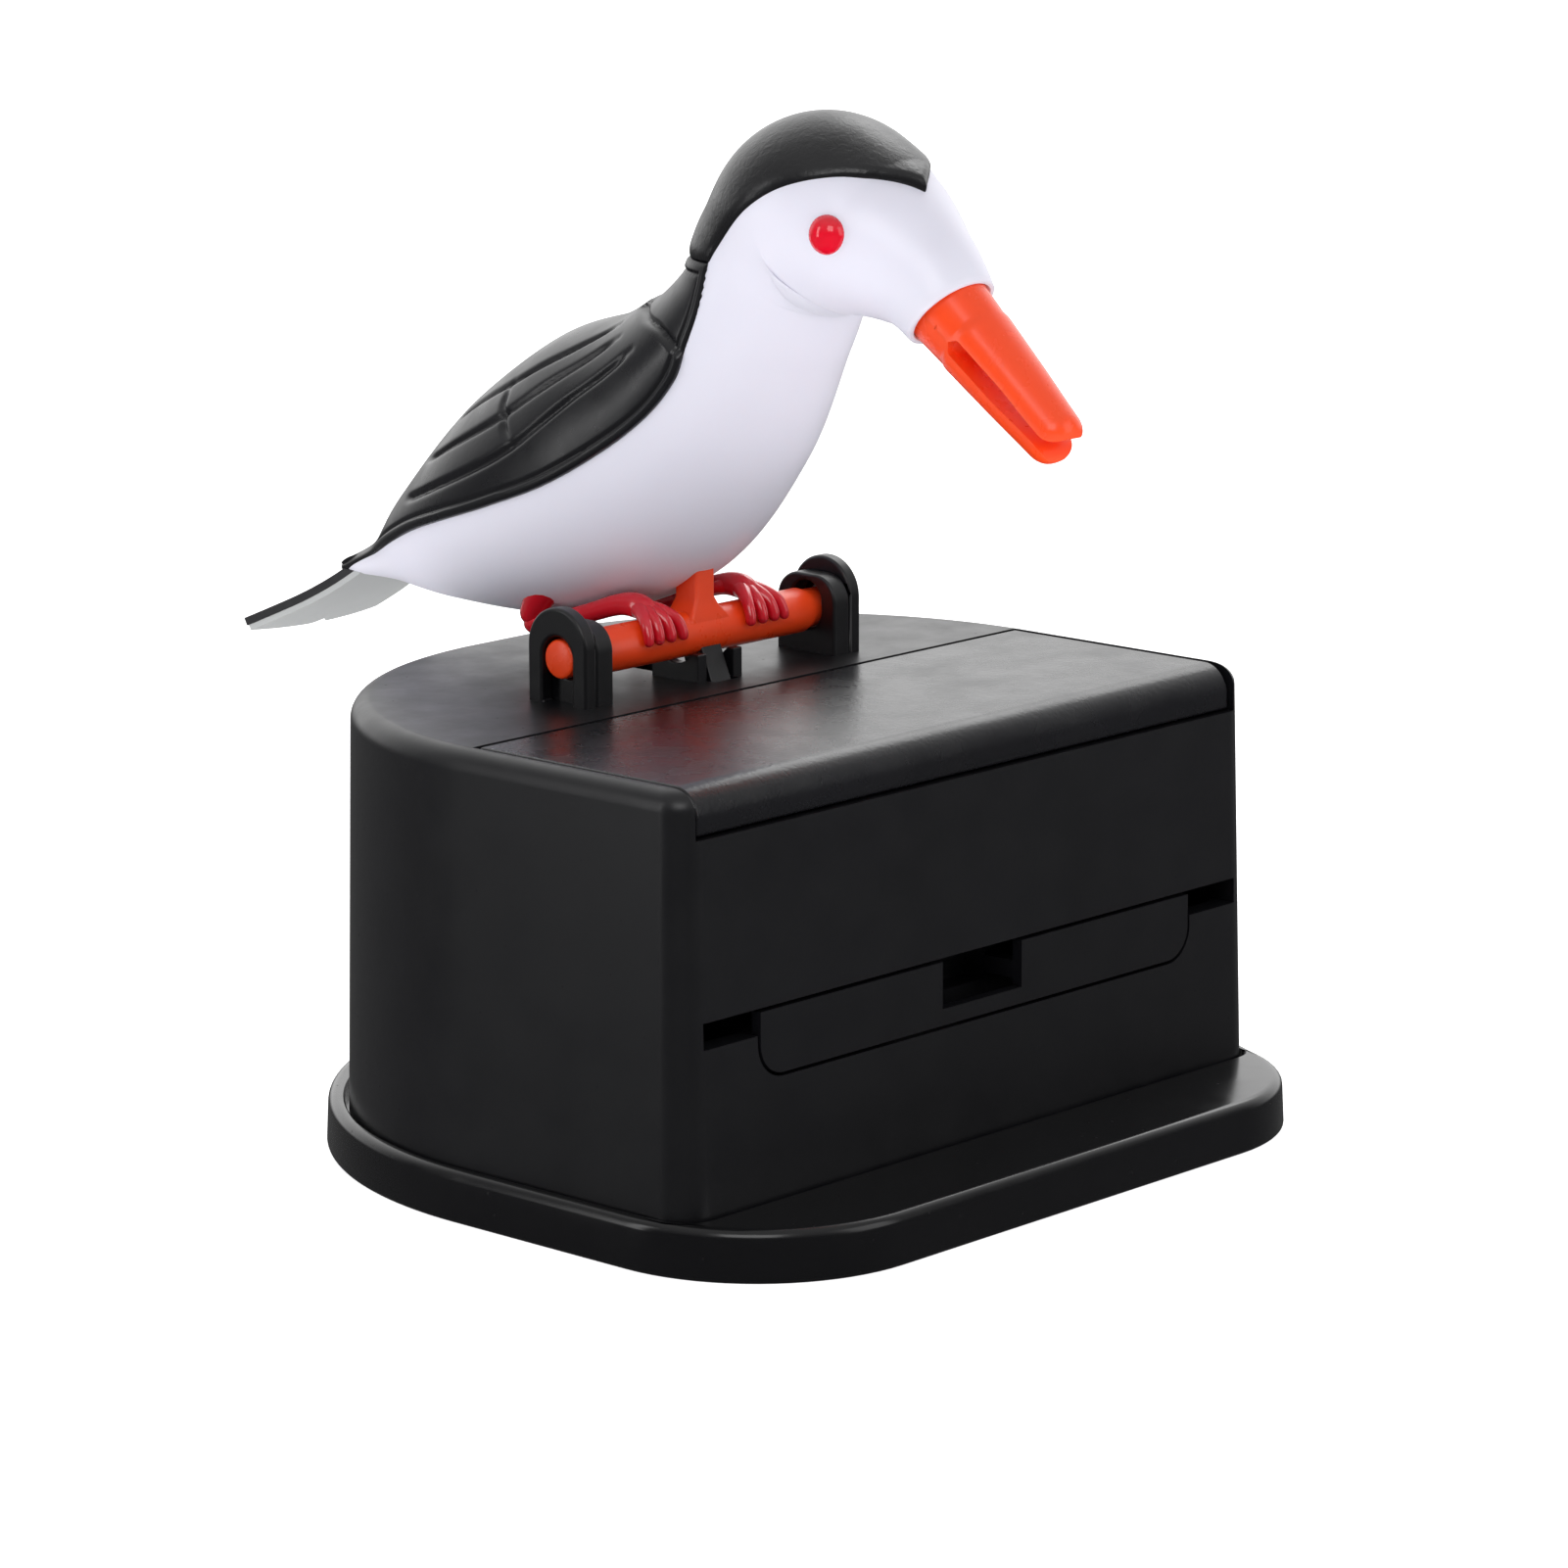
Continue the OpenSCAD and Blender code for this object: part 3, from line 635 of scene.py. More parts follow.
@dataclass
class Case:
    """The D-shaped box with its lid opening, toothpick slot, flap cut-out and slot for the lever."""

    width: float = 72.2
    front: float = -26.0
    back: float = 32.4
    foot: float = 3.4
    top: float = 39.0
    wall: float = 2.0
    roof: float = 1.6
    front_r: float = 3.0
    back_r: float = 33.0
    draft: float = 0.02
    edge_r: float = 1.8
    lid_half: float = 33.75
    lid_back: float = -0.36
    lid_deep: float = 2.0
    skirt_deep: float = 3.2
    seam_z: float = 35.0
    slot_half: float = 33.5
    slot_z: tuple[float, float] = (18.1, 20.3)
    flap_half: float = 27.3
    flap_z: tuple[float, float] = (14.3, 20.3)
    flap_r: float = 3.0
    lever_half: float = 1.5
    lever_y: tuple[float, float] = (3.0, 13.9)

    def outline(self, inset: float) -> Array:
        """The foot's outline drawn inwards by inset, or outwards if it is negative."""
        return d_outline(self.width - 2 * inset, self.front + inset, self.back - inset,
                         self.front_r - inset / 2, self.back_r - inset)

    def skin(self) -> Surface:
        """Outer skin: walls leaning in by the draft, then a quarter-round into the flat top."""
        lean = self.draft * (self.top - self.foot)
        rings = [at_height(self.outline(0), self.foot)]
        for a in np.radians(np.linspace(0, 90, 12)):
            inset, drop = self.edge_r * (1 - math.cos(a)), self.edge_r * (1 - math.sin(a))
            rings.append(at_height(self.outline(lean + inset), self.top - drop))
        return loft(np.stack(rings))

    def hollow(self) -> Surface:
        """Inside of the walls and roof, open below."""
        ceiling = self.top - self.roof
        lean = self.draft * (ceiling - self.foot)
        return loft(np.stack([at_height(self.outline(self.wall), self.foot - 1),
                              at_height(self.outline(self.wall + lean), ceiling)]))

    def openings(self) -> list[Surface]:
        """Tools that cut the lid's opening, the toothpick slot, the flap's hole and the lever's slot.

        Each is longer than its hole where it leaves the wall, so that it cuts clean through.
        """
        outside, inside, above = self.front - 1, self.front + 4, self.top + 3
        ledge, skirt = self.top - self.lid_deep, self.front + self.skirt_deep
        lid = np.array([[outside, self.seam_z], [skirt, self.seam_z], [skirt, ledge], [self.lid_back, ledge],
                        [self.lid_back, above], [outside, above]])
        (low, high), (near, far) = self.slot_z, self.lever_y
        slot = np.array([[outside, low], [inside, low], [inside, high], [outside, high]])
        floor, over = self.top - 3, self.top + 2
        lever = np.array([[near, floor], [far, floor], [far, over], [near, over]])
        side, foot = self.flap_half - self.flap_r, self.flap_z[0] + self.flap_r
        face = np.vstack([arc((-side, foot), self.flap_r, 180, 270, 12),
                          arc((side, foot), self.flap_r, 270, 360, 12),
                          [[self.flap_half, self.flap_z[1]], [-self.flap_half, self.flap_z[1]]]])
        flap = [np.column_stack([face[:, 0], np.full(len(face), y), face[:, 1]]) for y in (outside, inside)]
        return [prism(lid, -self.lid_half, self.lid_half), prism(slot, -self.slot_half, self.slot_half),
                loft(np.stack(flap)), prism(lever, -self.lever_half, self.lever_half)]

    def build(self) -> None:
        """Cuts the box and dresses it."""
        box = make_mesh("case_box", self.skin())
        cut(box, [self.hollow(), *self.openings()])
        finish_piece(box, CASE_BLACK, "case", ("case_shell",), Edge.CRISP)


@dataclass
class PerchMount:
    """What holds the rod on the case's top: an outer bracket and a centre cheek on each side."""

    y: float = 6.5
    z: float = 42.8
    foot: float = 38.0
    half: float = 3.4
    corner: float = 2.4
    cheek_top: float = 45.9
    cheek_x: tuple[float, float] = (13.7, 15.72)
    rim_x: tuple[float, float] = (15.7, 17.1)
    rim_z: float = 43.8
    hole_r: float = 1.75
    hole_top_r: float = 1.72
    hole_rise: float = 0.75
    arch_foot: float = 38.98
    arch_rise: float = 0.2
    centre_x: tuple[float, float] = (1.65, 2.75)
    centre_y: tuple[float, float] = (-2.7, 2.8)
    centre_top: float = 41.4
    rod_gap_r: float = 2.35

    @staticmethod
    def through(side: Array, x: tuple[float, float]) -> Surface:
        """A tool with this side view, 1 mm longer than the wall at each face."""
        return prism(side, x[0] - 1, x[1] + 1)

    def bracket(self) -> bpy.types.Object:
        """One outer bracket: a cheek with a tall hole, and outside it a higher arched rim with a slot."""
        y, reach = self.y, self.half - self.corner
        feet = [[y - self.half, self.foot], [y + self.half, self.foot]]
        cheek = np.vstack([feet, arc((y + reach, self.cheek_top - self.corner), self.corner, 0, 90, 14),
                           arc((y - reach, self.cheek_top - self.corner), self.corner, 90, 180, 14)])
        piece = make_mesh("perch_bracket", prism(cheek, *self.cheek_x))
        hole = np.vstack([arc((y, self.z), self.hole_r, 180, 360, 24),
                          arc((y, self.z + self.hole_rise), self.hole_top_r, 0, 180, 24)])
        cut(piece, [self.through(hole, self.cheek_x)])
        rim = make_mesh("perch_bracket_rim",
                        prism(np.vstack([feet, arc((y, self.rim_z), self.half, 0, 180, 40)]), *self.rim_x))
        arch = np.vstack([[[y - self.hole_r, self.arch_foot], [y + self.hole_r, self.arch_foot]],
                          arc((y, self.z + self.arch_rise), self.hole_r, 0, 180, 30)])
        cut(rim, [self.through(arch, self.rim_x)])
        join_meshes(piece, rim)
        return piece

    def cheek(self) -> bpy.types.Object:
        """One centre cheek beside the lever's slot, hollowed round the rod."""
        near, far, top = self.y + self.centre_y[0], self.y + self.centre_y[1], self.centre_top
        side = np.array([[near, self.foot], [far, self.foot], [far, top], [near, top]])
        piece = make_mesh("perch_cheek", prism(side, *self.centre_x))
        cut(piece, [self.through(arc((self.y, self.z), self.rod_gap_r, 0, 352, 45), self.centre_x)])
        return piece

    def build(self) -> None:
        """Makes the right bracket and cheek, and mirrors each to the left."""
        for maker in (self.bracket, self.cheek):
            right = maker()
            left = mirror_piece(right, right.name + "_left")
            right.name += "_right"
            for piece in (right, left):
                finish_piece(piece, CASE_BLACK, "case", (), Edge.SOFT)


@dataclass
class Lid:
    """The refill lid: a flat plate whose front rolls down over the front wall, on two hinge stubs."""

    half: float = 33.35
    back: float = -0.66
    front: float = -24.85
    top: float = 39.0
    thick: float = 2.0
    bottom: float = 35.15
    roll_r: float = 2.5
    skirt: float = 1.5
    gusset: float = 0.6
    hinge_y: float = -21.9
    hinge_z: float = 36.0
    hinge_r: float = 1.1
    hinge_half: float = 34.7

    def build(self) -> None:
        """Carries the side view along X and adds the hinge stubs."""
        ledge, behind = self.top - self.thick, self.front + self.skirt
        side = np.vstack([[[self.back, ledge], [self.back, self.top]],
                          arc((self.front + self.roll_r, self.top - self.roll_r), self.roll_r, 90, 180, 16),
                          [[self.front, self.bottom], [behind, self.bottom], [behind, ledge - self.gusset],
                           [behind + self.gusset, ledge]]])
        pin = arc((self.hinge_y, self.hinge_z), self.hinge_r, 0, 345, 24)
        stub = prism(pin, -self.hinge_half, self.hinge_half)
        plate = make_mesh("lid_plate", prism(side, -self.half, self.half) + stub)
        finish_piece(plate, LID_BLACK, "case", ("refill_lid",), Edge.SOFT)


# ---------------------------------------------------------------- bird

@dataclass
class BirdSkin:
    """The bird's outer surface, from the tail root at u = 0 to the beak's collar at u = 11.

    Each section is an ellipse square to a smooth line in the middle plane, given by y, z, half thickness and
    half width. A point is the middle plus half width times cosine v along X plus half thickness times sine v
    towards the back, so v = 90 degrees is the crest.
    """

    sections: tuple[tuple[float, float, float, float], ...] = (
        (45.5, 44.2, 1.0, 4.6), (40, 45.7, 2.6, 6.4), (33.5, 48.2, 6.1, 9.5), (23, 52.5, 10.4, 12.4),
        (13, 57.2, 11.8, 12.7), (5, 62.9, 9.5, 11.1), (-1.4, 70.5, 7.2, 8.9), (-4.3, 76, 7.6, 8.0),
        (-8.5, 79.6, 8.4, 8.8), (-14.5, 78, 6.7, 7.6), (-19.3, 75.5, 4.9, 5.1), (-22, 73, 4.0, 4.3))

    @property
    def end(self) -> float:
        """The last section's u."""
        return len(self.sections) - 1.0

    def frame_at(self, u: Array) -> tuple[Array, Array]:
        """Sections at u, and the direction towards the back there: the line's slope, turned by 90 degrees.

        Args:
            u: places along the bird, in any shape.

        Returns:
            The four numbers of each section, and its unit direction as y, z.
        """
        knots = np.array(self.sections)
        shape = u.shape
        flat = np.clip(u.ravel(), 0, self.end)
        here = catmull_rom(knots, flat)
        ahead = catmull_rom(knots, np.clip(flat + 0.05, 0, self.end))
        behind = catmull_rom(knots, np.clip(flat - 0.05, 0, self.end))
        along = ahead[:, :2] - behind[:, :2]
        along /= np.linalg.norm(along, axis=1, keepdims=True)
        back = np.column_stack([along[:, 1], -along[:, 0]])
        return here.reshape(*shape, 4), back.reshape(*shape, 2)

    def points(self, u: Array, v: Array) -> Array:
        """Surface points, by the formula above.

        Args:
            u: places along the bird.
            v: angles round it, in radians, in the same shape.

        Returns:
            x, y, z for each place.
        """
        here, back = self.frame_at(u)
        out = here[..., 2] * np.sin(v)
        return np.stack([here[..., 3] * np.cos(v), here[..., 0] + out * back[..., 0],
                         here[..., 1] + out * back[..., 1]], -1)

    def normals(self, u: Array, v: Array) -> Array:
        """Outward unit normals: the cross product of small steps along v and along u.

        Args:
            u: places along the bird.
            v: angles round it, in radians, in the same shape.

        Returns:
            One normal for each place, turned away from its section's middle.
        """
        step = 0.01
        ahead, before = np.clip(u + step, 0, self.end), np.clip(u - step, 0, self.end)
        along = self.points(ahead, v) - self.points(before, v)
        across = self.points(u, v + step) - self.points(u, v - step)
        normal = np.cross(across, along)
        normal /= np.maximum(np.linalg.norm(normal, axis=-1, keepdims=True), 1e-9)
        here, _ = self.frame_at(u)
        middle = np.stack([np.zeros_like(u), here[..., 0], here[..., 1]], -1)
        side = np.sign(np.sum(normal * (self.points(u, v) - middle), -1, keepdims=True))
        return normal * np.where(side == 0, 1, side)


def curve_height(curve: Array, y: Array) -> Array:
    """Height of a side-view curve at y, held level past its ends."""
    order = np.argsort(curve[:, 0])
    return np.interp(y, curve[order, 0], curve[order, 1])


def smooth_curve(knots: Array, count: int = 200) -> Array:
    """Dense points on the smooth curve through the knots."""
    return catmull_rom(knots, np.linspace(0, len(knots) - 1, count))


def edge_run(grid: Array, axis: int) -> tuple[Array, Array]:
    """Distance along the surface from each point to two opposite rims: the running sum of its steps.

    Args:
        grid: points by row and column.
        axis: 0 to run along the rows, 1 to run along the columns.

    Returns:
        Distance from the first line on that axis, and distance from the last.
    """
    step = np.linalg.norm(np.diff(grid, axis=axis), axis=-1)
    pad = [(0, 0), (0, 0)]
    pad[axis] = (1, 0)
    run = np.cumsum(np.pad(step, pad), axis=axis)
    return run, np.take(run, [-1], axis=axis) - run


@dataclass
class Plumage:
    """The bird's shells: white body, black neck and wings in one piece, and black cap.

    Edges, shoulder and feathers are side views given by y, z. A collar step is a share of the last section's
    size, and how far ahead of it the step stands.
    """

    skin: BirdSkin = field(default_factory=BirdSkin)
    wing_edge: tuple[tuple[float, float], ...] = (
        (-4.6, 80), (-2.6, 75.9), (-2.2, 74), (-1.9, 71.5), (-1.1, 68.8), (-0.2, 66), (2.4, 62.7),
        (6.8, 59.3), (12.3, 56.2), (18.9, 53.7), (24.5, 51.9), (30.9, 49.8), (38, 46.8), (42, 45.3),
        (46.5, 43.3))
    cap_edge: tuple[tuple[float, float], ...] = (
        (-1.6, 73.5), (-2.6, 75.9), (-4.2, 77.9), (-7.6, 80.9), (-10.8, 82.8), (-14.4, 83.7), (-17, 83.4),
        (-19.2, 82.4), (-21, 80.6), (-23, 79))
    shoulder: tuple[tuple[float, float], ...] = ((7.6, 71.2), (5.0, 70.7), (2.1, 70.2), (-0.6, 68.6))
    feathers: tuple[tuple[tuple[float, float], ...], ...] = (
        ((4.6, 68.1), (6.4, 66.4), (9.7, 64), (15.6, 59.3), (22.7, 55.8), (32.2, 52.2)),
        ((7.2, 68.7), (9.2, 67.2), (12.1, 65.4), (17.3, 61.8), (23.2, 58.8), (30, 55.7)),
        ((8.9, 69.4), (11.9, 67.6), (14.6, 66.2), (18.7, 63.9), (23.3, 61.7), (27.5, 59.2)),
        ((19.4, 63.7), (18.8, 61.9), (18.0, 61.4), (17.4, 60.4), (16.0, 59.3)))
    feather_deep: tuple[float, ...] = (0.4, 0.4, 0.4, 0.3)
    feather_wide: float = 0.33
    shoulder_deep: float = 0.4
    shoulder_wide: float = 0.3
    wall: float = 0.9
    nape_z: float = 75.9
    neck_u: float = 5.2
    tail_u: float = 0.0
    tail_lift: float = 0.14
    brow_u: float = 9.4
    brow_round: float = 0.55
    neck_lift: float = 0.1
    wing_lift: float = 0.32
    wing_rim_r: float = 0.55
    bead_wide: float = 0.95
    bead_lift: float = 0.12
    crown_lift: float = 0.3
    brow_lift: float = 0.5
    cap_rim_r: float = 1.3
    covers_meet_y: float = -3.2
    brow_y: float = -18.6
    sunk: float = 0.6
    collar: tuple[tuple[float, float], ...] = (
        (0.99, 0.2), (0.95, 0.32), (0.89, 0.3), (0.86, 0.1), (0.86, -1.5))

    @property
    def table_u(self) -> Array:
        """Even places along the whole bird, at which the covers' edges are found."""
        return np.linspace(0, self.skin.end, 700)

    @staticmethod
    def bunched(count: int) -> Array:
        """Places from -1 to 1: the mean of even steps and of minus cosine, so they bunch at both ends."""
        return (np.linspace(-1, 1, count) - np.cos(np.linspace(0, np.pi, count))) / 2

    def side_angle(self, curve: Array, u: Array) -> Array:
        """Angle down from the crest at which each section meets a side-view curve.

        Each section is walked from crest to belly, and the first place below the curve is taken.

        Args:
            curve: side view of the edge as y, z.
            u: places of the sections.

        Returns:
            One angle in radians for each section.
        """
        steps = 400
        down = np.linspace(0, np.pi, steps)
        grid = self.skin.points(np.repeat(u[:, None], steps, 1), np.pi / 2 - np.repeat(down[None], len(u), 0))
        above = grid[..., 2] - curve_height(curve, grid[..., 1])
        first = np.clip(np.argmax(above < 0, axis=1), 1, steps - 1)
        rows = np.arange(len(u))
        a, b = above[rows, first - 1], above[rows, first]
        part = np.clip(a / np.where(a - b == 0, 1, a - b), 0, 1)
        return down[first - 1] + part * (down[first] - down[first - 1])

    def nape(self, half_angle: Array, u: Array, w: Array) -> Array:
        """Where the wings give way to the cap: the first u on the neck with the skin above the nape's height.

        Args:
            half_angle: angle from crest to edge for each u.
            u: places along the bird.
            w: shares of the half angle, from -1 to 1.

        Returns:
            One u for each share.
        """
        v = np.pi / 2 + w[None] * half_angle[:, None]
        z = self.skin.points(np.repeat(u[:, None], len(w), 1), v)[..., 2]
        near = (u[:, None] > self.neck_u) & (z > self.nape_z)
        return u[np.argmax(near, axis=0)]

    def shell(self, curve: Array, u_low: Array, u_high: Array, blunt: float, rows: int, columns: int
              ) -> tuple[Array, Array, Array, Array]:
        """A sheet of the skin above a curve, with its normals and two distances from its rim.

        Rows and columns bunch towards the rim, so the rim's roll is finely cut. Over the last part of u,
        blunt wide, the sides close as a quarter-ellipse.

        Args:
            curve: side view of the lower edge as y, z.
            u_low: first u of each column.
            u_high: last u of each column.
            blunt: length of the rounded end in u, or 0 for none.
            rows: points along.
            columns: points across.

        Returns:
            Points, normals, distance from the nearest rim, and distance from the first row alone.
        """
        w = self.bunched(columns)
        s = (1 + self.bunched(rows)) / 2
        u = u_low[None] + (u_high - u_low)[None] * s[:, None]
        angle = np.interp(u.ravel(), self.table_u, self.side_angle(curve, self.table_u)).reshape(u.shape)
        if blunt > 0:
            reach = np.clip((u_high.max() - u) / blunt, 0, 1)
            angle = angle * np.sqrt(np.clip(1 - (1 - reach) ** 2, 0.0001, 1))
        v = np.pi / 2 + w[None] * angle
        grid = self.skin.points(u, v)
        first, last = edge_run(grid, 0)
        left, right = edge_run(grid, 1)
        return grid, self.skin.normals(u, v), np.minimum(np.minimum(left, right), last), first

    @staticmethod
    def roll(rim: Array, radius: float, height: Array, start: float = -0.3) -> Array:
        """Lift of a rolled rim: a quarter-ellipse from start, under the skin, up to height.

        Args:
            rim: distance from the rim.
            radius: how far from the rim the roll reaches.
            height: lift inside the roll.
            start: lift at the rim itself.

        Returns:
            Lift of each point above the skin.
        """
        t = 1 - np.clip(rim / radius, 0, 1)
        return start + (height - start) * np.sqrt(np.clip(1 - t ** 2, 0, 1))

    @staticmethod
    def groove(grid: Array, line: tuple[tuple[float, float], ...], width: float) -> Array:
        """How far each point lies in a groove along a side-view line, cut into both sides of the surface.

        The line's x is read off the surface points nearest to it in side view, and smoothed by a polynomial
        of degree four. The value is e to the minus square of distance over width. It fades to a quarter over
        the line's last 2 mm.

        Args:
            grid: surface points by row and column.
            line: knots of the line as y, z.
            width: distance at which the groove is about a third as deep.

        Returns:
            0 outside to 1 on the line, for each point.
        """
        near_mm, fade_mm, every = 2.0, 2.0, 8
        dense = smooth_curve(np.array(line), 240)
        flat = grid.reshape(-1, 3)
        left = flat[flat[:, 0] <= 0.01]
        gap = np.sum((left[None, :, 1:] - dense[::every, None]) ** 2, axis=2)
        found = left[np.argmin(gap, axis=1), 0]
        t = np.linspace(0, 1, len(dense))
        on = np.column_stack([np.polyval(np.polyfit(t[::every], found, 4), t), dense])
        folded = np.column_stack([-np.abs(flat[:, 0]), flat[:, 1:]])
        close = np.all((folded > on.min(0) - near_mm) & (folded < on.max(0) + near_mm), axis=1)
        nearest = np.full(len(flat), np.inf)
        nearest[close] = np.min(np.sum((folded[close][:, None] - on[None]) ** 2, axis=2), axis=1)
        ends = np.sqrt(np.minimum(np.sum((folded - on[0]) ** 2, 1), np.sum((folded - on[-1]) ** 2, 1)))
        taper = np.clip(ends / fade_mm, 0.25, 1)
        return (np.exp(-nearest / width ** 2) * taper).reshape(grid.shape[:2])

    def thickened(self, name: str, grid: Array, finish: Finish, replaced: str) -> None:
        """Makes a sheet a mesh, turns its rim inwards on to the body by the wall, and dresses it.

        Args:
            name: the piece's name.
            grid: its points by row and column.
            finish: its material.
            replaced: the CAD node that it stands for.
        """
        piece = make_mesh(name, Surface(grid.reshape(-1, 3), [grid_faces(*grid.shape[:2], False)]))
        face = piece.data.polygons[len(piece.data.polygons) // 2]
        if face.normal.dot(Vector((0.0, 0.5, 1.0))) < 0:
            piece.data.flip_normals()
        rim = piece.modifiers.new("wall", "SOLIDIFY")
        rim.thickness, rim.offset, rim.use_rim_only = self.wall * MM, -1, True
        finish_piece(piece, finish, "bird", (replaced,), sharp_deg=60)

    def body(self) -> None:
        """White shell: the whole skin, sunk under the covers, with a lip round the beak's collar."""
        rows, sides = 330, 220
        u = np.repeat(np.linspace(0, self.skin.end, rows)[:, None], sides, 1)
        v = np.repeat(np.linspace(0, 2 * np.pi, sides, endpoint=False)[None], rows, 0)
        grid = self.skin.points(u, v)
        y, z = grid[..., 1], grid[..., 2]
        wing = z - curve_height(smooth_curve(np.array(self.wing_edge)), y)
        cap = z - curve_height(smooth_curve(np.array(self.cap_edge)), y)
        under = np.where(y > self.covers_meet_y, wing, np.where(y < self.brow_y, -1.0, cap))
        sink = self.sunk * smooth_step(under, 0.8, 2.2)
        grid = grid - self.skin.normals(u, v) * sink[..., None]
        last, middle = grid[-1], grid[-1].mean(0)
        tilt = math.radians(BEAK_TILT_DEG)
        ahead = np.array([0.0, -math.cos(tilt), -math.sin(tilt)])
        lips = [middle + (last - middle) * share + ahead * out for share, out in self.collar]
        piece = make_mesh("body_shell", loft(np.concatenate([grid, np.stack(lips)])))
        finish_piece(piece, BODY_WHITE, "bird", ("bird_body",), sharp_deg=50)

    def wings(self) -> None:
        """Neck and folded wings: raised behind the shoulder line, with sunk feather lines.

        The lift above the skin is a little on the neck and more on the wings, fading out towards the tail.
        The rim rolls under the skin, a bead stands along it, and a shallow groove runs inside the bead.
        """
        curve = smooth_curve(np.array(self.wing_edge))
        top = self.nape(self.side_angle(curve, self.table_u), self.table_u, self.bunched(220))
        grid, normal, rim, tail = self.shell(curve, np.full_like(top, self.tail_u), top, 0.0, 370, 220)
        y, z = grid[..., 1], grid[..., 2]
        line = smooth_curve(np.array(self.shoulder))
        behind = y - np.interp(z, line[::-1, 1], line[::-1, 0])
        below = np.interp(y, line[::-1, 0], line[::-1, 1]) - z
        raised = np.where(y < line[0, 0], smooth_step(below, -0.1, 0.8), smooth_step(behind, -0.1, 0.8))
        level = self.neck_lift + self.wing_lift * raised * (1 - smooth_step(y, 28, 42))
        lift = self.roll(rim, self.wing_rim_r, level + self.bead_lift * (rim < self.bead_wide))
        lift = lift - 0.14 * np.exp(-((rim - 1.15) / 0.2) ** 2)
        for feather, depth in zip(self.feathers, self.feather_deep):
            lift = lift - depth * self.groove(grid, feather, self.feather_wide)
        lift = lift - self.shoulder_deep * self.groove(grid, self.shoulder, self.shoulder_wide)
        lift = self.tail_lift + (lift - self.tail_lift) * smooth_step(tail, -0.5, 3.0)
        self.thickened("wing_cover", grid + normal * lift[..., None], COVER_BLACK, "back_cover")

    def cap(self) -> None:
        """Cap from the nape over the crown to a blunt brow, with a rolled rim that is highest at the brow."""
        curve = smooth_curve(np.array(self.cap_edge))
        low = self.nape(self.side_angle(curve, self.table_u), self.table_u, self.bunched(180))
        crest = self.skin.points(self.table_u, np.full_like(self.table_u, np.pi / 2))
        above = crest[:, 2] - curve_height(curve, crest[:, 1])
        tip = min(self.table_u[above > 0].max(), self.brow_u)
        grid, normal, rim, nape = self.shell(curve, low, np.full_like(low, tip), self.brow_round, 250, 180)
        height = self.crown_lift + self.brow_lift * smooth_step(-grid[..., 1], 13, 19)
        lift = self.roll(np.minimum(rim, nape), self.cap_rim_r, height, -0.15)
        self.thickened("cap_shell", grid + normal * lift[..., None], CAP_BLACK, "head_cap")

    def build(self) -> None:
        """Makes the three shells."""
        self.body()
        self.wings()
        self.cap()


@dataclass
class Beak:
    """The forked beak: two half-round lobes joined at the collar, with a slot open to both sides.

    Along the beak, s runs from the collar to the tip. The outline's half height falls from root to tip, the
    lobes' facing sides part by the slot, and each lobe's end is a quarter-round.
    """

    root_y: float = -21.5
    root_z: float = 73.4
    length: float = 16.5
    root_r: float = 3.6
    tip_r: float = 2.35
    width_share: float = 0.94
    slot_from: float = 4.0
    slot_wide: float = 0.76
    slot_tip: float = 0.46
    slot_round: float = 0.7
    end_r: float = 1.5
    end_narrow: float = 0.35

    def lobe(self, upper: bool) -> Surface:
        """One lobe: rings of a half ellipse, each closed by the slot's flat face.

        Args:
            upper: whether it is the lobe above the slot.

        Returns:
            The closed lobe.
        """
        s = self.length * (1 - np.cos(np.linspace(0, np.pi, 110))) / 2
        turn = np.linspace(0, np.pi, 29)
        reach = self.root_r + (self.tip_r - self.root_r) * s / self.length
        end_from = self.length - self.end_r
        t = np.clip((s - end_from) / self.end_r, 0, 1)
        fall = np.sqrt(np.clip(1 - t ** 2, 0.0009, 1))
        opened = np.clip((s - self.slot_from) / self.slot_round, 0, 1)
        gap = self.slot_wide * np.sqrt(1 - (1 - opened) ** 2)
        gap = gap + (self.slot_tip - self.slot_wide) * smooth_step(s, self.length * 0.55, end_from)
        middle = gap + (reach - gap) / 2
        low, high = middle - (middle - gap) * fall, middle + (reach - middle) * fall
        wide = reach * self.width_share * np.where(t > 0, self.end_narrow + (1 - self.end_narrow) * fall, 1)
        face = np.linspace(-1, 1, 9)[1:-1]
        x = wide[:, None] * np.concatenate([np.cos(turn), face])[None]
        arch = low[:, None] + (high - low)[:, None] * np.sin(turn)[None]
        up = np.concatenate([arch, np.repeat(low[:, None], len(face), 1)], 1) * (1 if upper else -1)
        along = np.repeat(s[:, None], x.shape[1], 1)
        a = math.radians(BEAK_TILT_DEG)
        return loft(np.stack([x, self.root_y - along * math.cos(a) - up * math.sin(a),
                              self.root_z - along * math.sin(a) + up * math.cos(a)], -1))

    def build(self) -> None:
        """Joins both lobes and softens the slot's corners."""
        piece = make_mesh("beak_fork", self.lobe(True) + self.lobe(False))
        finish_piece(piece, BEAK_ORANGE, "bird", ("beak",), Edge.CRISP, sharp_deg=45)


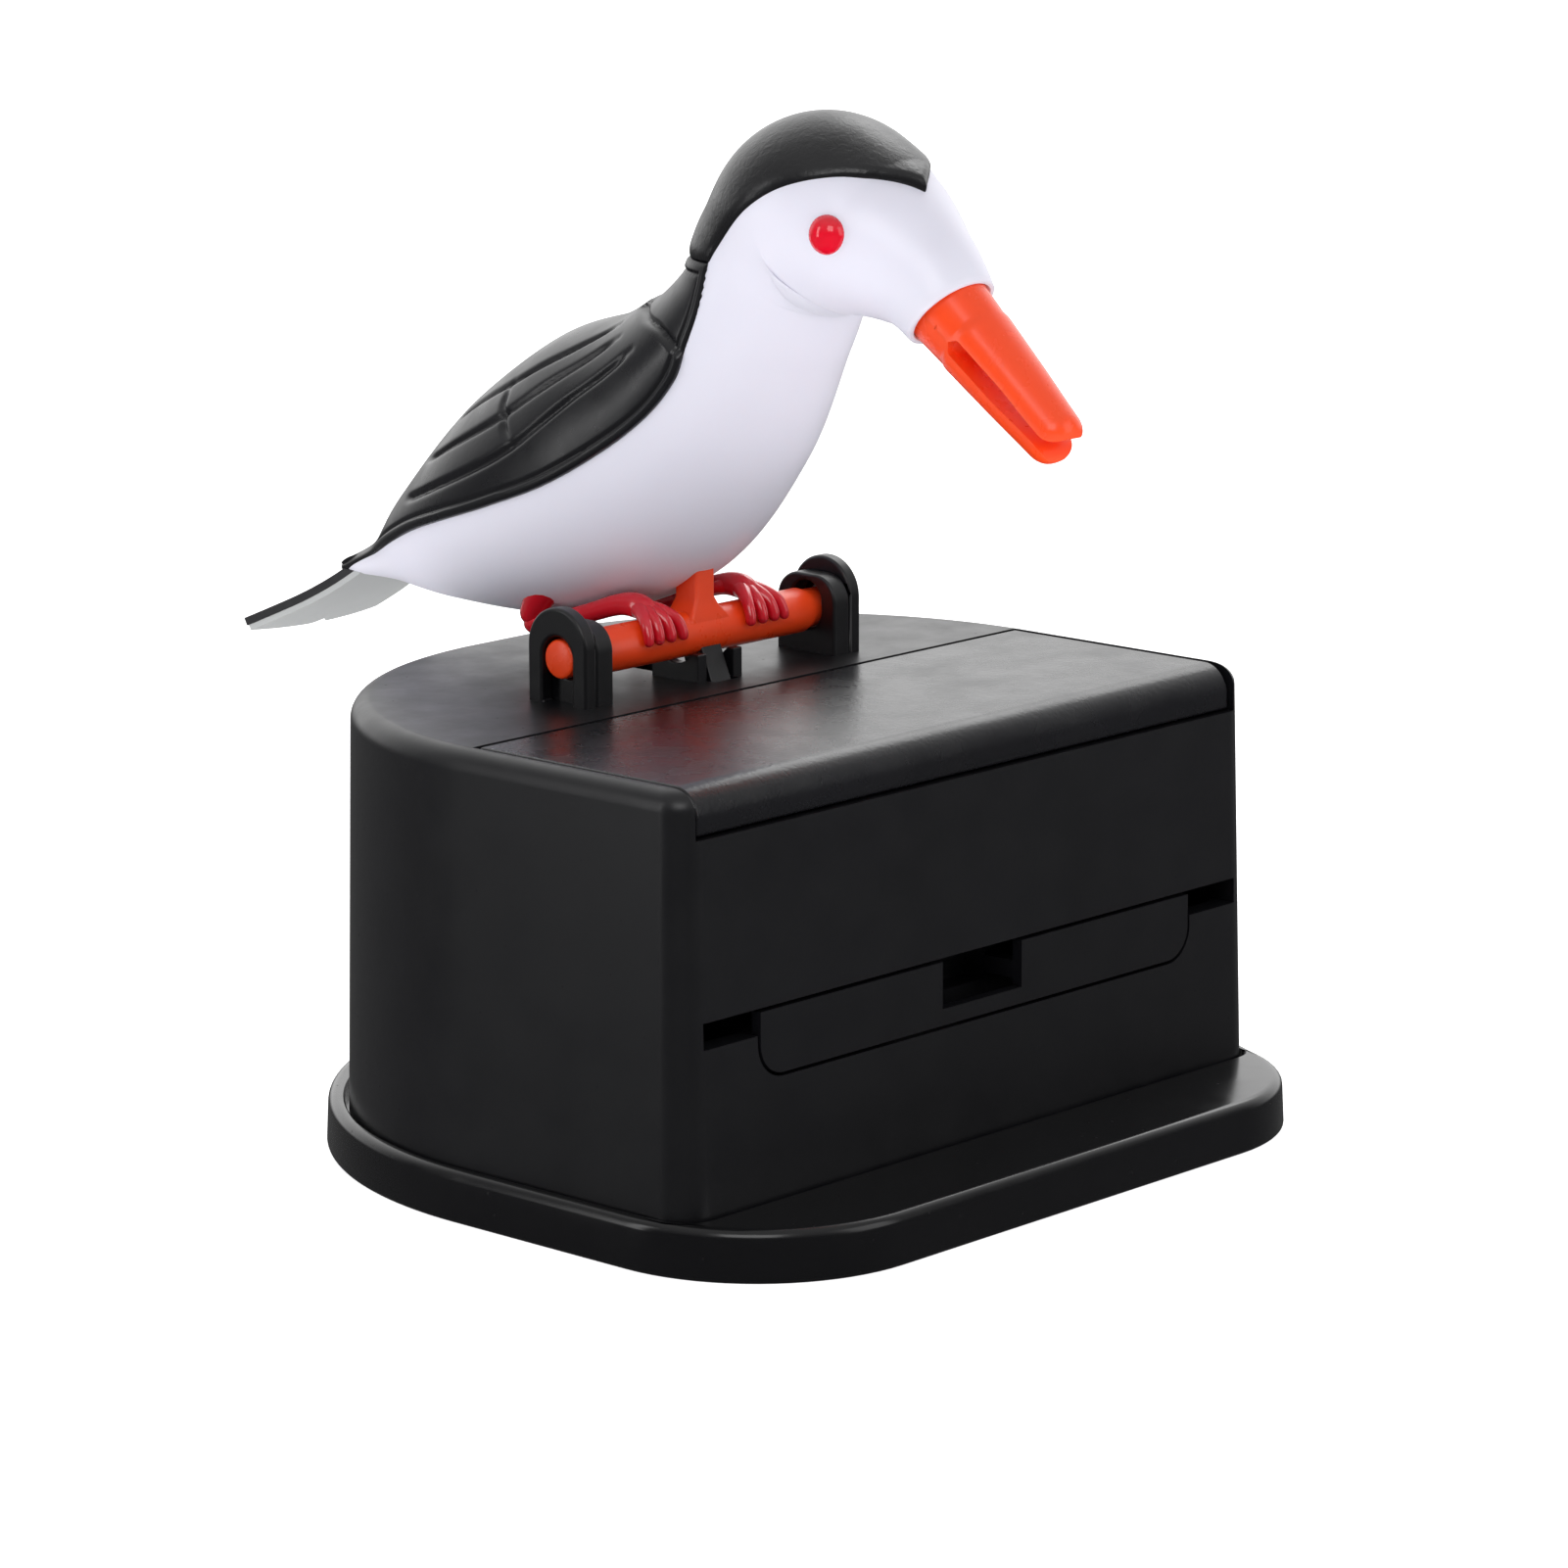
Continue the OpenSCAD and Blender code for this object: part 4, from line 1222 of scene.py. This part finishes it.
@dataclass
class Eyes:
    """Two red domed beads with a small flange, each set into the side of the head."""

    x: float = 6.9
    y: float = -14.8
    z: float = 79.2
    r: float = 1.7
    rise: float = 1.35
    sunk: float = 1.3
    flange: float = 0.1

    def dome(self) -> Surface:
        """Rings about X: a short cylinder, then a quarter-ellipse of height rise and radius r."""
        turn = np.radians(np.linspace(0, 89, 18))
        radius = np.concatenate([[self.r, self.r], self.r * np.cos(turn)])
        out = np.concatenate([[self.x - self.sunk, self.x - self.flange], self.x + self.rise * np.sin(turn)])
        angle = np.linspace(0, 2 * np.pi, 36, endpoint=False)
        x = np.repeat(out[:, None], len(angle), 1)
        return loft(np.stack([x, self.y + radius[:, None] * np.cos(angle)[None],
                              self.z + radius[:, None] * np.sin(angle)[None]], -1))

    def build(self) -> None:
        """Makes the right bead and its mirror image."""
        dome = self.dome()
        finish_piece(make_mesh("bead_right", dome), EYE_RED, "bird", ("eye_right",))
        finish_piece(make_mesh("bead_left", dome.mirrored()), EYE_RED, "bird", ("eye_left",))


@dataclass
class Perch:
    """The rod that the bird grips and turns on: end pins, a stem up into the belly, and the drive lever.

    A stem row is height above the rod's middle, half width along X, and the y of its front and back.
    """

    y: float = 6.5
    z: float = 42.8
    rod_r: float = 1.95
    pin_r: float = 1.68
    shoulder_x: float = 12.6
    end_x: float = 16.9
    stem_rows: tuple[tuple[float, float, float, float], ...] = (
        (-0.6, 2.6, 4.75, 8.3), (1.2, 2.5, 4.9, 8.3), (2.1, 1.7, 5.3, 8.2), (3.0, 1.15, 5.42, 8.1),
        (6.5, 1.15, 5.42, 8.0))
    lever_l: float = 8.5
    lever_deg: float = -20.0
    lever_half_x: float = 1.2
    lever_half: float = 1.1
    eye_r: float = 1.8
    eye_open_deg: float = 37.0

    def rod(self) -> Surface:
        """A profile of radius against x, turned about the rod's axis."""
        half = np.array([[self.shoulder_x, self.rod_r], [self.shoulder_x + 0.8, self.pin_r],
                         [self.end_x - 0.3, self.pin_r], [self.end_x - 0.08, self.pin_r - 0.09],
                         [self.end_x, self.pin_r - 0.32]])
        profile = np.vstack([half[::-1] * [-1, 1], half])
        turn = np.linspace(0, 2 * np.pi, 48, endpoint=False)
        return loft(np.stack([np.repeat(profile[:, :1], 48, 1), self.y + profile[:, 1:] * np.cos(turn)[None],
                              self.z + profile[:, 1:] * np.sin(turn)[None]], -1))

    def stem(self) -> Surface:
        """Rectangles that shrink upwards from the rod into the belly."""
        return loft(np.array([[[x, y, self.z + up] for x, y in (
            (-half, front), (half, front), (half, back), (-half, back))]
            for up, half, front, back in self.stem_rows]))

    def lever(self) -> Surface:
        """A flat arm in side view with a round eye at its foot, open where the arm runs into it."""
        a = math.radians(self.lever_deg)
        foot = (self.y + self.lever_l * math.sin(a), self.z - self.lever_l * math.cos(a))
        side = np.array([math.cos(a), math.sin(a)]) * self.lever_half
        top = np.array([self.y, self.z])
        eye = arc(foot, self.eye_r, 180 - self.eye_open_deg + self.lever_deg,
                  360 + self.eye_open_deg + self.lever_deg, 30)
        return prism(np.vstack([[top + side], [top - side], eye]), -self.lever_half_x, self.lever_half_x)

    def build(self) -> None:
        """Makes the rod with its stem, and the lever in black, which is painted shade as it shows through the
        slot.
        """
        finish_piece(make_mesh("perch_rod", self.rod()), PERCH_ORANGE, "bird", ("perch",), Edge.CRISP)
        finish_piece(make_mesh("perch_stem", self.stem()), PERCH_ORANGE, "bird", (), Edge.SOFT)
        # The lever's black is painted shade, as it looks in the slot's shadow.
        finish_piece(make_mesh("perch_lever", self.lever()), TRAY_BLACK, "bird", (), Edge.CRISP)


@dataclass
class Legs:
    """Glossy legs: thigh down to the heel, shank forward to the foot, and toes over the perch's front.

    A knot is x, y, z and radius. A toe is how far it spreads along X, and its radius.
    """

    x: float = 6.3
    thigh: tuple[tuple[float, float, float, float], ...] = (
        (6.5, 17.0, 47.6, 2.3), (6.5, 18.3, 46.0, 1.7), (6.4, 19.8, 43.9, 1.15), (6.35, 20.5, 42.6, 0.95))
    shank: tuple[tuple[float, float, float, float], ...] = (
        (6.35, 20.7, 42.5, 0.9), (6.3, 17.0, 43.2, 0.85), (6.3, 13.0, 44.5, 0.85), (6.3, 9.6, 45.6, 0.95),
        (6.3, 7.4, 45.75, 1.1), (6.3, 5.6, 45.2, 0.9))
    toes: tuple[tuple[float, float], ...] = ((-1.9, 0.48), (-0.55, 0.5), (0.75, 0.5), (1.9, 0.46))
    spur: tuple[tuple[float, float, float, float], ...] = (
        (6.3, 8.2, 45.7, 0.8), (5.3, 9.2, 45.5, 0.55), (4.7, 9.9, 45.1, 0.4))

    def toe(self, spread: float, radius: float) -> tuple[tuple[float, float, float, float], ...]:
        """Knots of a toe: forward from the foot, then down over the rod, its spread growing on the way.

        Args:
            spread: how far it stands from the leg's middle along X.
            radius: its radius.

        Returns:
            The knots as x, y, z and radius.
        """
        return ((self.x, 7.3, 45.6, 0.95), (self.x + 0.55 * spread, 5.9, 45.35, radius + 0.2),
                (self.x + 0.95 * spread, 4.75, 44.7, radius + 0.05),
                (self.x + 1.08 * spread, 4.2, 43.7, radius),
                (self.x + 1.12 * spread, 4.15, 42.9, radius * 0.9))

    def one(self) -> Surface:
        """All limbs of the right leg, each a smooth tube that starts inside the last."""
        limbs = [self.thigh, self.shank, self.spur, *(self.toe(*toe) for toe in self.toes)]
        whole = Surface(np.zeros((0, 3)), [])
        for knots in map(np.array, limbs):
            whole = whole + tube(knots[:, :3], knots[:, 3])
        return whole

    def build(self) -> None:
        """Makes the right leg and its mirror image."""
        leg = self.one()
        finish_piece(make_mesh("limb_right", leg), LEG_RED, "bird", ("leg_right",), sharp_deg=60)
        finish_piece(make_mesh("limb_left", leg.mirrored()), LEG_RED, "bird", ("leg_left",), sharp_deg=60)


@dataclass
class Tail:
    """Two thin plates under the wing tips: black above, pale grey below as painted shade on white film,
    flared and slightly cupped.
    """

    y: float = 40.0
    z: float = 45.5
    tilt_deg: float = 28.4
    length: float = 16.4
    root_half: float = 3.7
    tip_half: float = 7.9
    notch_deep: float = 0.9
    notch_half: float = 0.07
    end_bow: float = 0.35
    side_lift: float = 0.55
    sag: float = 0.5
    root_rise: float = 1.5

    def plate(self, low: float, high: float, trim: float) -> Surface:
        """A plate between two heights above the tail's plane.

        s runs from root to tip and t from side to side. The half width grows with s, the end is cut back to a
        small centre notch, the plate lifts at its sides as t squared, and its root curves up under the wings.

        Args:
            low: height of the underside.
            high: height of the upper side.
            trim: how much smaller the plate is at its end and sides.

        Returns:
            The closed plate.
        """
        s = np.linspace(0, 1, 60)[:, None]
        t = np.linspace(-1, 1, 61)[None]
        half = self.root_half + (self.tip_half - trim - self.root_half) * s ** 1.1
        x = half * t
        notch = self.notch_deep * np.exp(-(t / self.notch_half) ** 2) + self.end_bow * (1 - t ** 2)
        run = (self.length - trim) * s - notch * smooth_step(s, 0.8, 1.0)
        root = np.clip(1 - s / 0.7, 0, 1)
        cup = self.side_lift * s * t ** 2 - self.sag * s * (1 - s) + self.root_rise * root ** 2
        a = math.radians(self.tilt_deg)

        def layer(height: float) -> Array:
            """The plate's surface at one height: along and up turned by the tail's tilt."""
            up = height + cup
            y, z = run * math.cos(a) + up * math.sin(a), up * math.cos(a) - run * math.sin(a)
            return np.stack([x, self.y + y, self.z + z], -1)

        bottom, top = layer(low), layer(high)
        count = bottom.shape[0] * bottom.shape[1]
        quads = grid_faces(*bottom.shape[:2], False)
        index = np.arange(count).reshape(bottom.shape[:2])
        rim = np.concatenate([index[0, :-1], index[:-1, -1], index[-1, :0:-1], index[:0:-1, 0]])
        wall = np.stack([rim, np.roll(rim, -1), np.roll(rim, -1) + count, rim + count], -1)
        points = np.vstack([bottom.reshape(-1, 3), top.reshape(-1, 3)])
        return Surface(points, [quads[:, ::-1], quads + count, wall])

    def build(self) -> None:
        """Makes both plates."""
        upper, lower = self.plate(0.02, 0.75, 0.0), self.plate(-0.5, 0.0, 0.12)
        finish_piece(make_mesh("tail_feathers", upper), TAIL_BLACK, "bird", ("tail_top",))
        # The lining's pale grey is painted shade on white film.
        finish_piece(make_mesh("tail_lining", lower), TAIL_PAINTED_SHADE, "bird", ("tail_under",))


# ---------------------------------------------------------------- CAD nodes that stay, and the stage

KEPT_NODES: dict[str, Finish] = {
    "inner_frame": FRAME_GREY, "hopper_chute": FRAME_GREY, "base_screws": PLATED_STEEL,
    "frame_screws": PLATED_STEEL, "rocker_pin": PLATED_STEEL, "feed_tray": TRAY_BLACK,
    "rocker_arm": ROCKER_NATURAL, "return_spring": PLATED_STEEL,
    "lever_pin": PLATED_STEEL, "perch_screw": PLATED_STEEL}


def dress_kept_nodes() -> None:
    """Gives every CAD node that stays in view its finish."""
    for name, finish in KEPT_NODES.items():
        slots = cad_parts[name].data.materials
        slots.clear()
        slots.append(finish.material())
        LOG.info("%s keeps its CAD shape in %s", name, finish.name)


@dataclass(frozen=True)
class Lamp:
    """A rectangular soft light that faces the bird: where it hangs, its two sizes and its power."""

    name: str
    at: tuple[float, float, float]
    size: tuple[float, float]
    watts: float

    def hang(self) -> None:
        """Makes the light and turns it towards the bird's foot."""
        data = bpy.data.lights.new(self.name, "AREA")
        data.shape, data.energy = "RECTANGLE", self.watts
        data.size, data.size_y = self.size[0] * MM, self.size[1] * MM
        lamp = bpy.data.objects.new(self.name, data)
        lamp.location = Vector(self.at) * MM
        lamp.rotation_euler = (Vector((0, 0, 40)) * MM - lamp.location).to_track_quat("-Z", "Y").to_euler()
        bpy.context.scene.collection.objects.link(lamp)


@dataclass
class Studio:
    """A white floor and dome, soft lights, surroundings brightest behind the bird, and the camera."""

    camera_at: tuple[float, float, float] = (-369.85, -343.6, 141.9)
    azimuth_deg: float = 47.4
    elevation_deg: float = 12.46
    roll_deg: float = -0.18
    lens_mm: float = 139.5
    floor_mm: float = 6000.0
    floor_glow: float = 0.8
    dome_mm: float = 2900.0
    horizon: float = 0.1
    zenith: float = 0.6
    backdrop: float = 1.3
    lamps: tuple[Lamp, ...] = (
        Lamp("key", (-560, -420, 560), (500, 400), 1.6), Lamp("fill", (260, -640, 300), (400, 500), 0.8),
        Lamp("back_left", (-600, 380, 200), (140, 500), 0.6),
        Lamp("back_right", (520, 200, 520), (300, 300), 0.5))

    def aim(self) -> Matrix:
        """Camera rotation: its axes are right, up and back, turned about the view by the roll."""
        a, e = math.radians(self.azimuth_deg), math.radians(self.elevation_deg)
        back = Vector((-math.sin(a) * math.cos(e), -math.cos(a) * math.cos(e), math.sin(e)))
        right = Vector((math.cos(a), -math.sin(a), 0.0))
        up = back.cross(right)
        turn = Matrix.Rotation(math.radians(self.roll_deg), 3, back)
        return Matrix((turn @ right, turn @ up, back)).transposed()

    def camera(self) -> None:
        """Places the camera; the picture is square."""
        data = bpy.data.cameras.new("camera")
        data.sensor_width, data.lens = 36.0, self.lens_mm
        data.clip_start, data.clip_end = 0.01, 20.0
        eye = bpy.data.objects.new("camera", data)
        eye.matrix_world = Matrix.Translation(Vector(self.camera_at) * MM) @ self.aim().to_4x4()
        bpy.context.scene.collection.objects.link(eye)
        bpy.context.scene.camera = eye

    def glow(self, name: str, colour: str, emission: float) -> bpy.types.Material:
        """A matt paper that also gives off light of its own.

        Args:
            name: the material's name.
            colour: the paper's colour as six hex digits.
            emission: how much light it gives off.

        Returns:
            The material.
        """
        made = bpy.data.materials.new(name)
        made.use_nodes = True
        tree = made.node_tree
        tree.nodes.clear()
        shader = add_node(tree, "ShaderNodeBsdfPrincipled", {
            "Base Color": hex_to_linear(colour), "Roughness": 0.9, "Specular IOR Level": 0.1,
            "Emission Color": (1.0, 1.0, 1.0, 1.0), "Emission Strength": emission})
        add_node(tree, "ShaderNodeOutputMaterial", {"Surface": shader.outputs["BSDF"]})
        return made

    def floor(self) -> None:
        """A pale matt floor, kept out of the object's reflections."""
        half = self.floor_mm / 2
        square = np.array([[-half, -half, 0], [half, -half, 0], [half, half, 0], [-half, half, 0]], float)
        piece = make_mesh("floor", Surface(square, [np.array([[0, 1, 2, 3]])]))
        piece.data.materials.append(self.glow("floor_paper", "fbfbfb", self.floor_glow))
        piece.visible_glossy = False

    def dome(self) -> None:
        """A white dome behind everything, a ball of radius dome_mm, that throws no light on the object."""
        polar = np.linspace(0.0001, np.pi - 0.0001, 24)[:, None]
        turn = np.linspace(0, 2 * np.pi, 48, endpoint=False)[None]
        ball = self.dome_mm * np.stack([np.sin(polar) * np.cos(turn), np.sin(polar) * np.sin(turn),
                                        np.cos(polar) + 0 * turn], -1)
        piece = make_mesh("backdrop", loft(ball))
        piece.data.shade_smooth()
        piece.data.materials.append(self.glow("backdrop_paper", "000000", 1.0))
        piece.visible_glossy = piece.visible_diffuse = False
        piece.visible_shadow = piece.visible_transmission = False

    def sky(self) -> None:
        """Bright behind the bird and overhead, dark towards the camera and below.

        Level black faces mirror the backdrop at a grazing angle, and upright ones mirror the dark side.
        """
        world = bpy.data.worlds.new("studio")
        world.use_nodes = True
        tree = world.node_tree
        tree.nodes.clear()
        direction = add_node(tree, "ShaderNodeTexCoord").outputs["Generated"]
        height = add_node(tree, "ShaderNodeSeparateXYZ", {"Vector": direction}).outputs["Z"]
        overhead = add_node(tree, "ShaderNodeMapRange", {
            "Value": height, "From Min": 0.15, "From Max": 0.9, "To Min": self.horizon,
            "To Max": self.zenith}).outputs["Result"]
        a = math.radians(self.azimuth_deg)
        away = add_node(tree, "ShaderNodeVectorMath", {0: direction, 1: (math.sin(a), math.cos(a), 0.0)},
                        operation="DOT_PRODUCT").outputs["Value"]
        behind = add_node(tree, "ShaderNodeMapRange", {
            "Value": away, "From Min": 0.25, "From Max": 0.8, "To Min": 0.0,
            "To Max": self.backdrop}).outputs["Result"]
        above = add_node(tree, "ShaderNodeMapRange", {
            "Value": height, "From Min": -0.1, "From Max": 0.05, "To Min": 0.0,
            "To Max": 1.0}).outputs["Result"]
        wall = add_node(tree, "ShaderNodeMath", {0: behind, 1: above}, operation="MULTIPLY").outputs["Value"]
        strength = add_node(tree, "ShaderNodeMath", {0: overhead, 1: wall}, operation="ADD").outputs["Value"]
        light = add_node(tree, "ShaderNodeBackground", {"Color": (1.0, 1.0, 1.0, 1.0), "Strength": strength})
        add_node(tree, "ShaderNodeOutputWorld", {"Surface": light.outputs["Background"]})
        bpy.context.scene.world = world

    def build(self) -> None:
        """Sets up stage, light and camera."""
        self.floor()
        self.dome()
        self.sky()
        for lamp in self.lamps:
            lamp.hang()
        self.camera()
        bpy.context.scene.view_settings.view_transform = "Standard"


def main() -> None:
    """Builds every piece in order."""
    logging.basicConfig(level=logging.INFO, format="%(message)s")
    Studio().build()
    case = Case()
    Base().build(case)
    case.build()
    PerchMount().build()
    Lid().build()
    Plumage().build()
    Beak().build()
    Eyes().build()
    Perch().build()
    Legs().build()
    Tail().build()
    dress_kept_nodes()


if __name__ == "__main__":
    main()
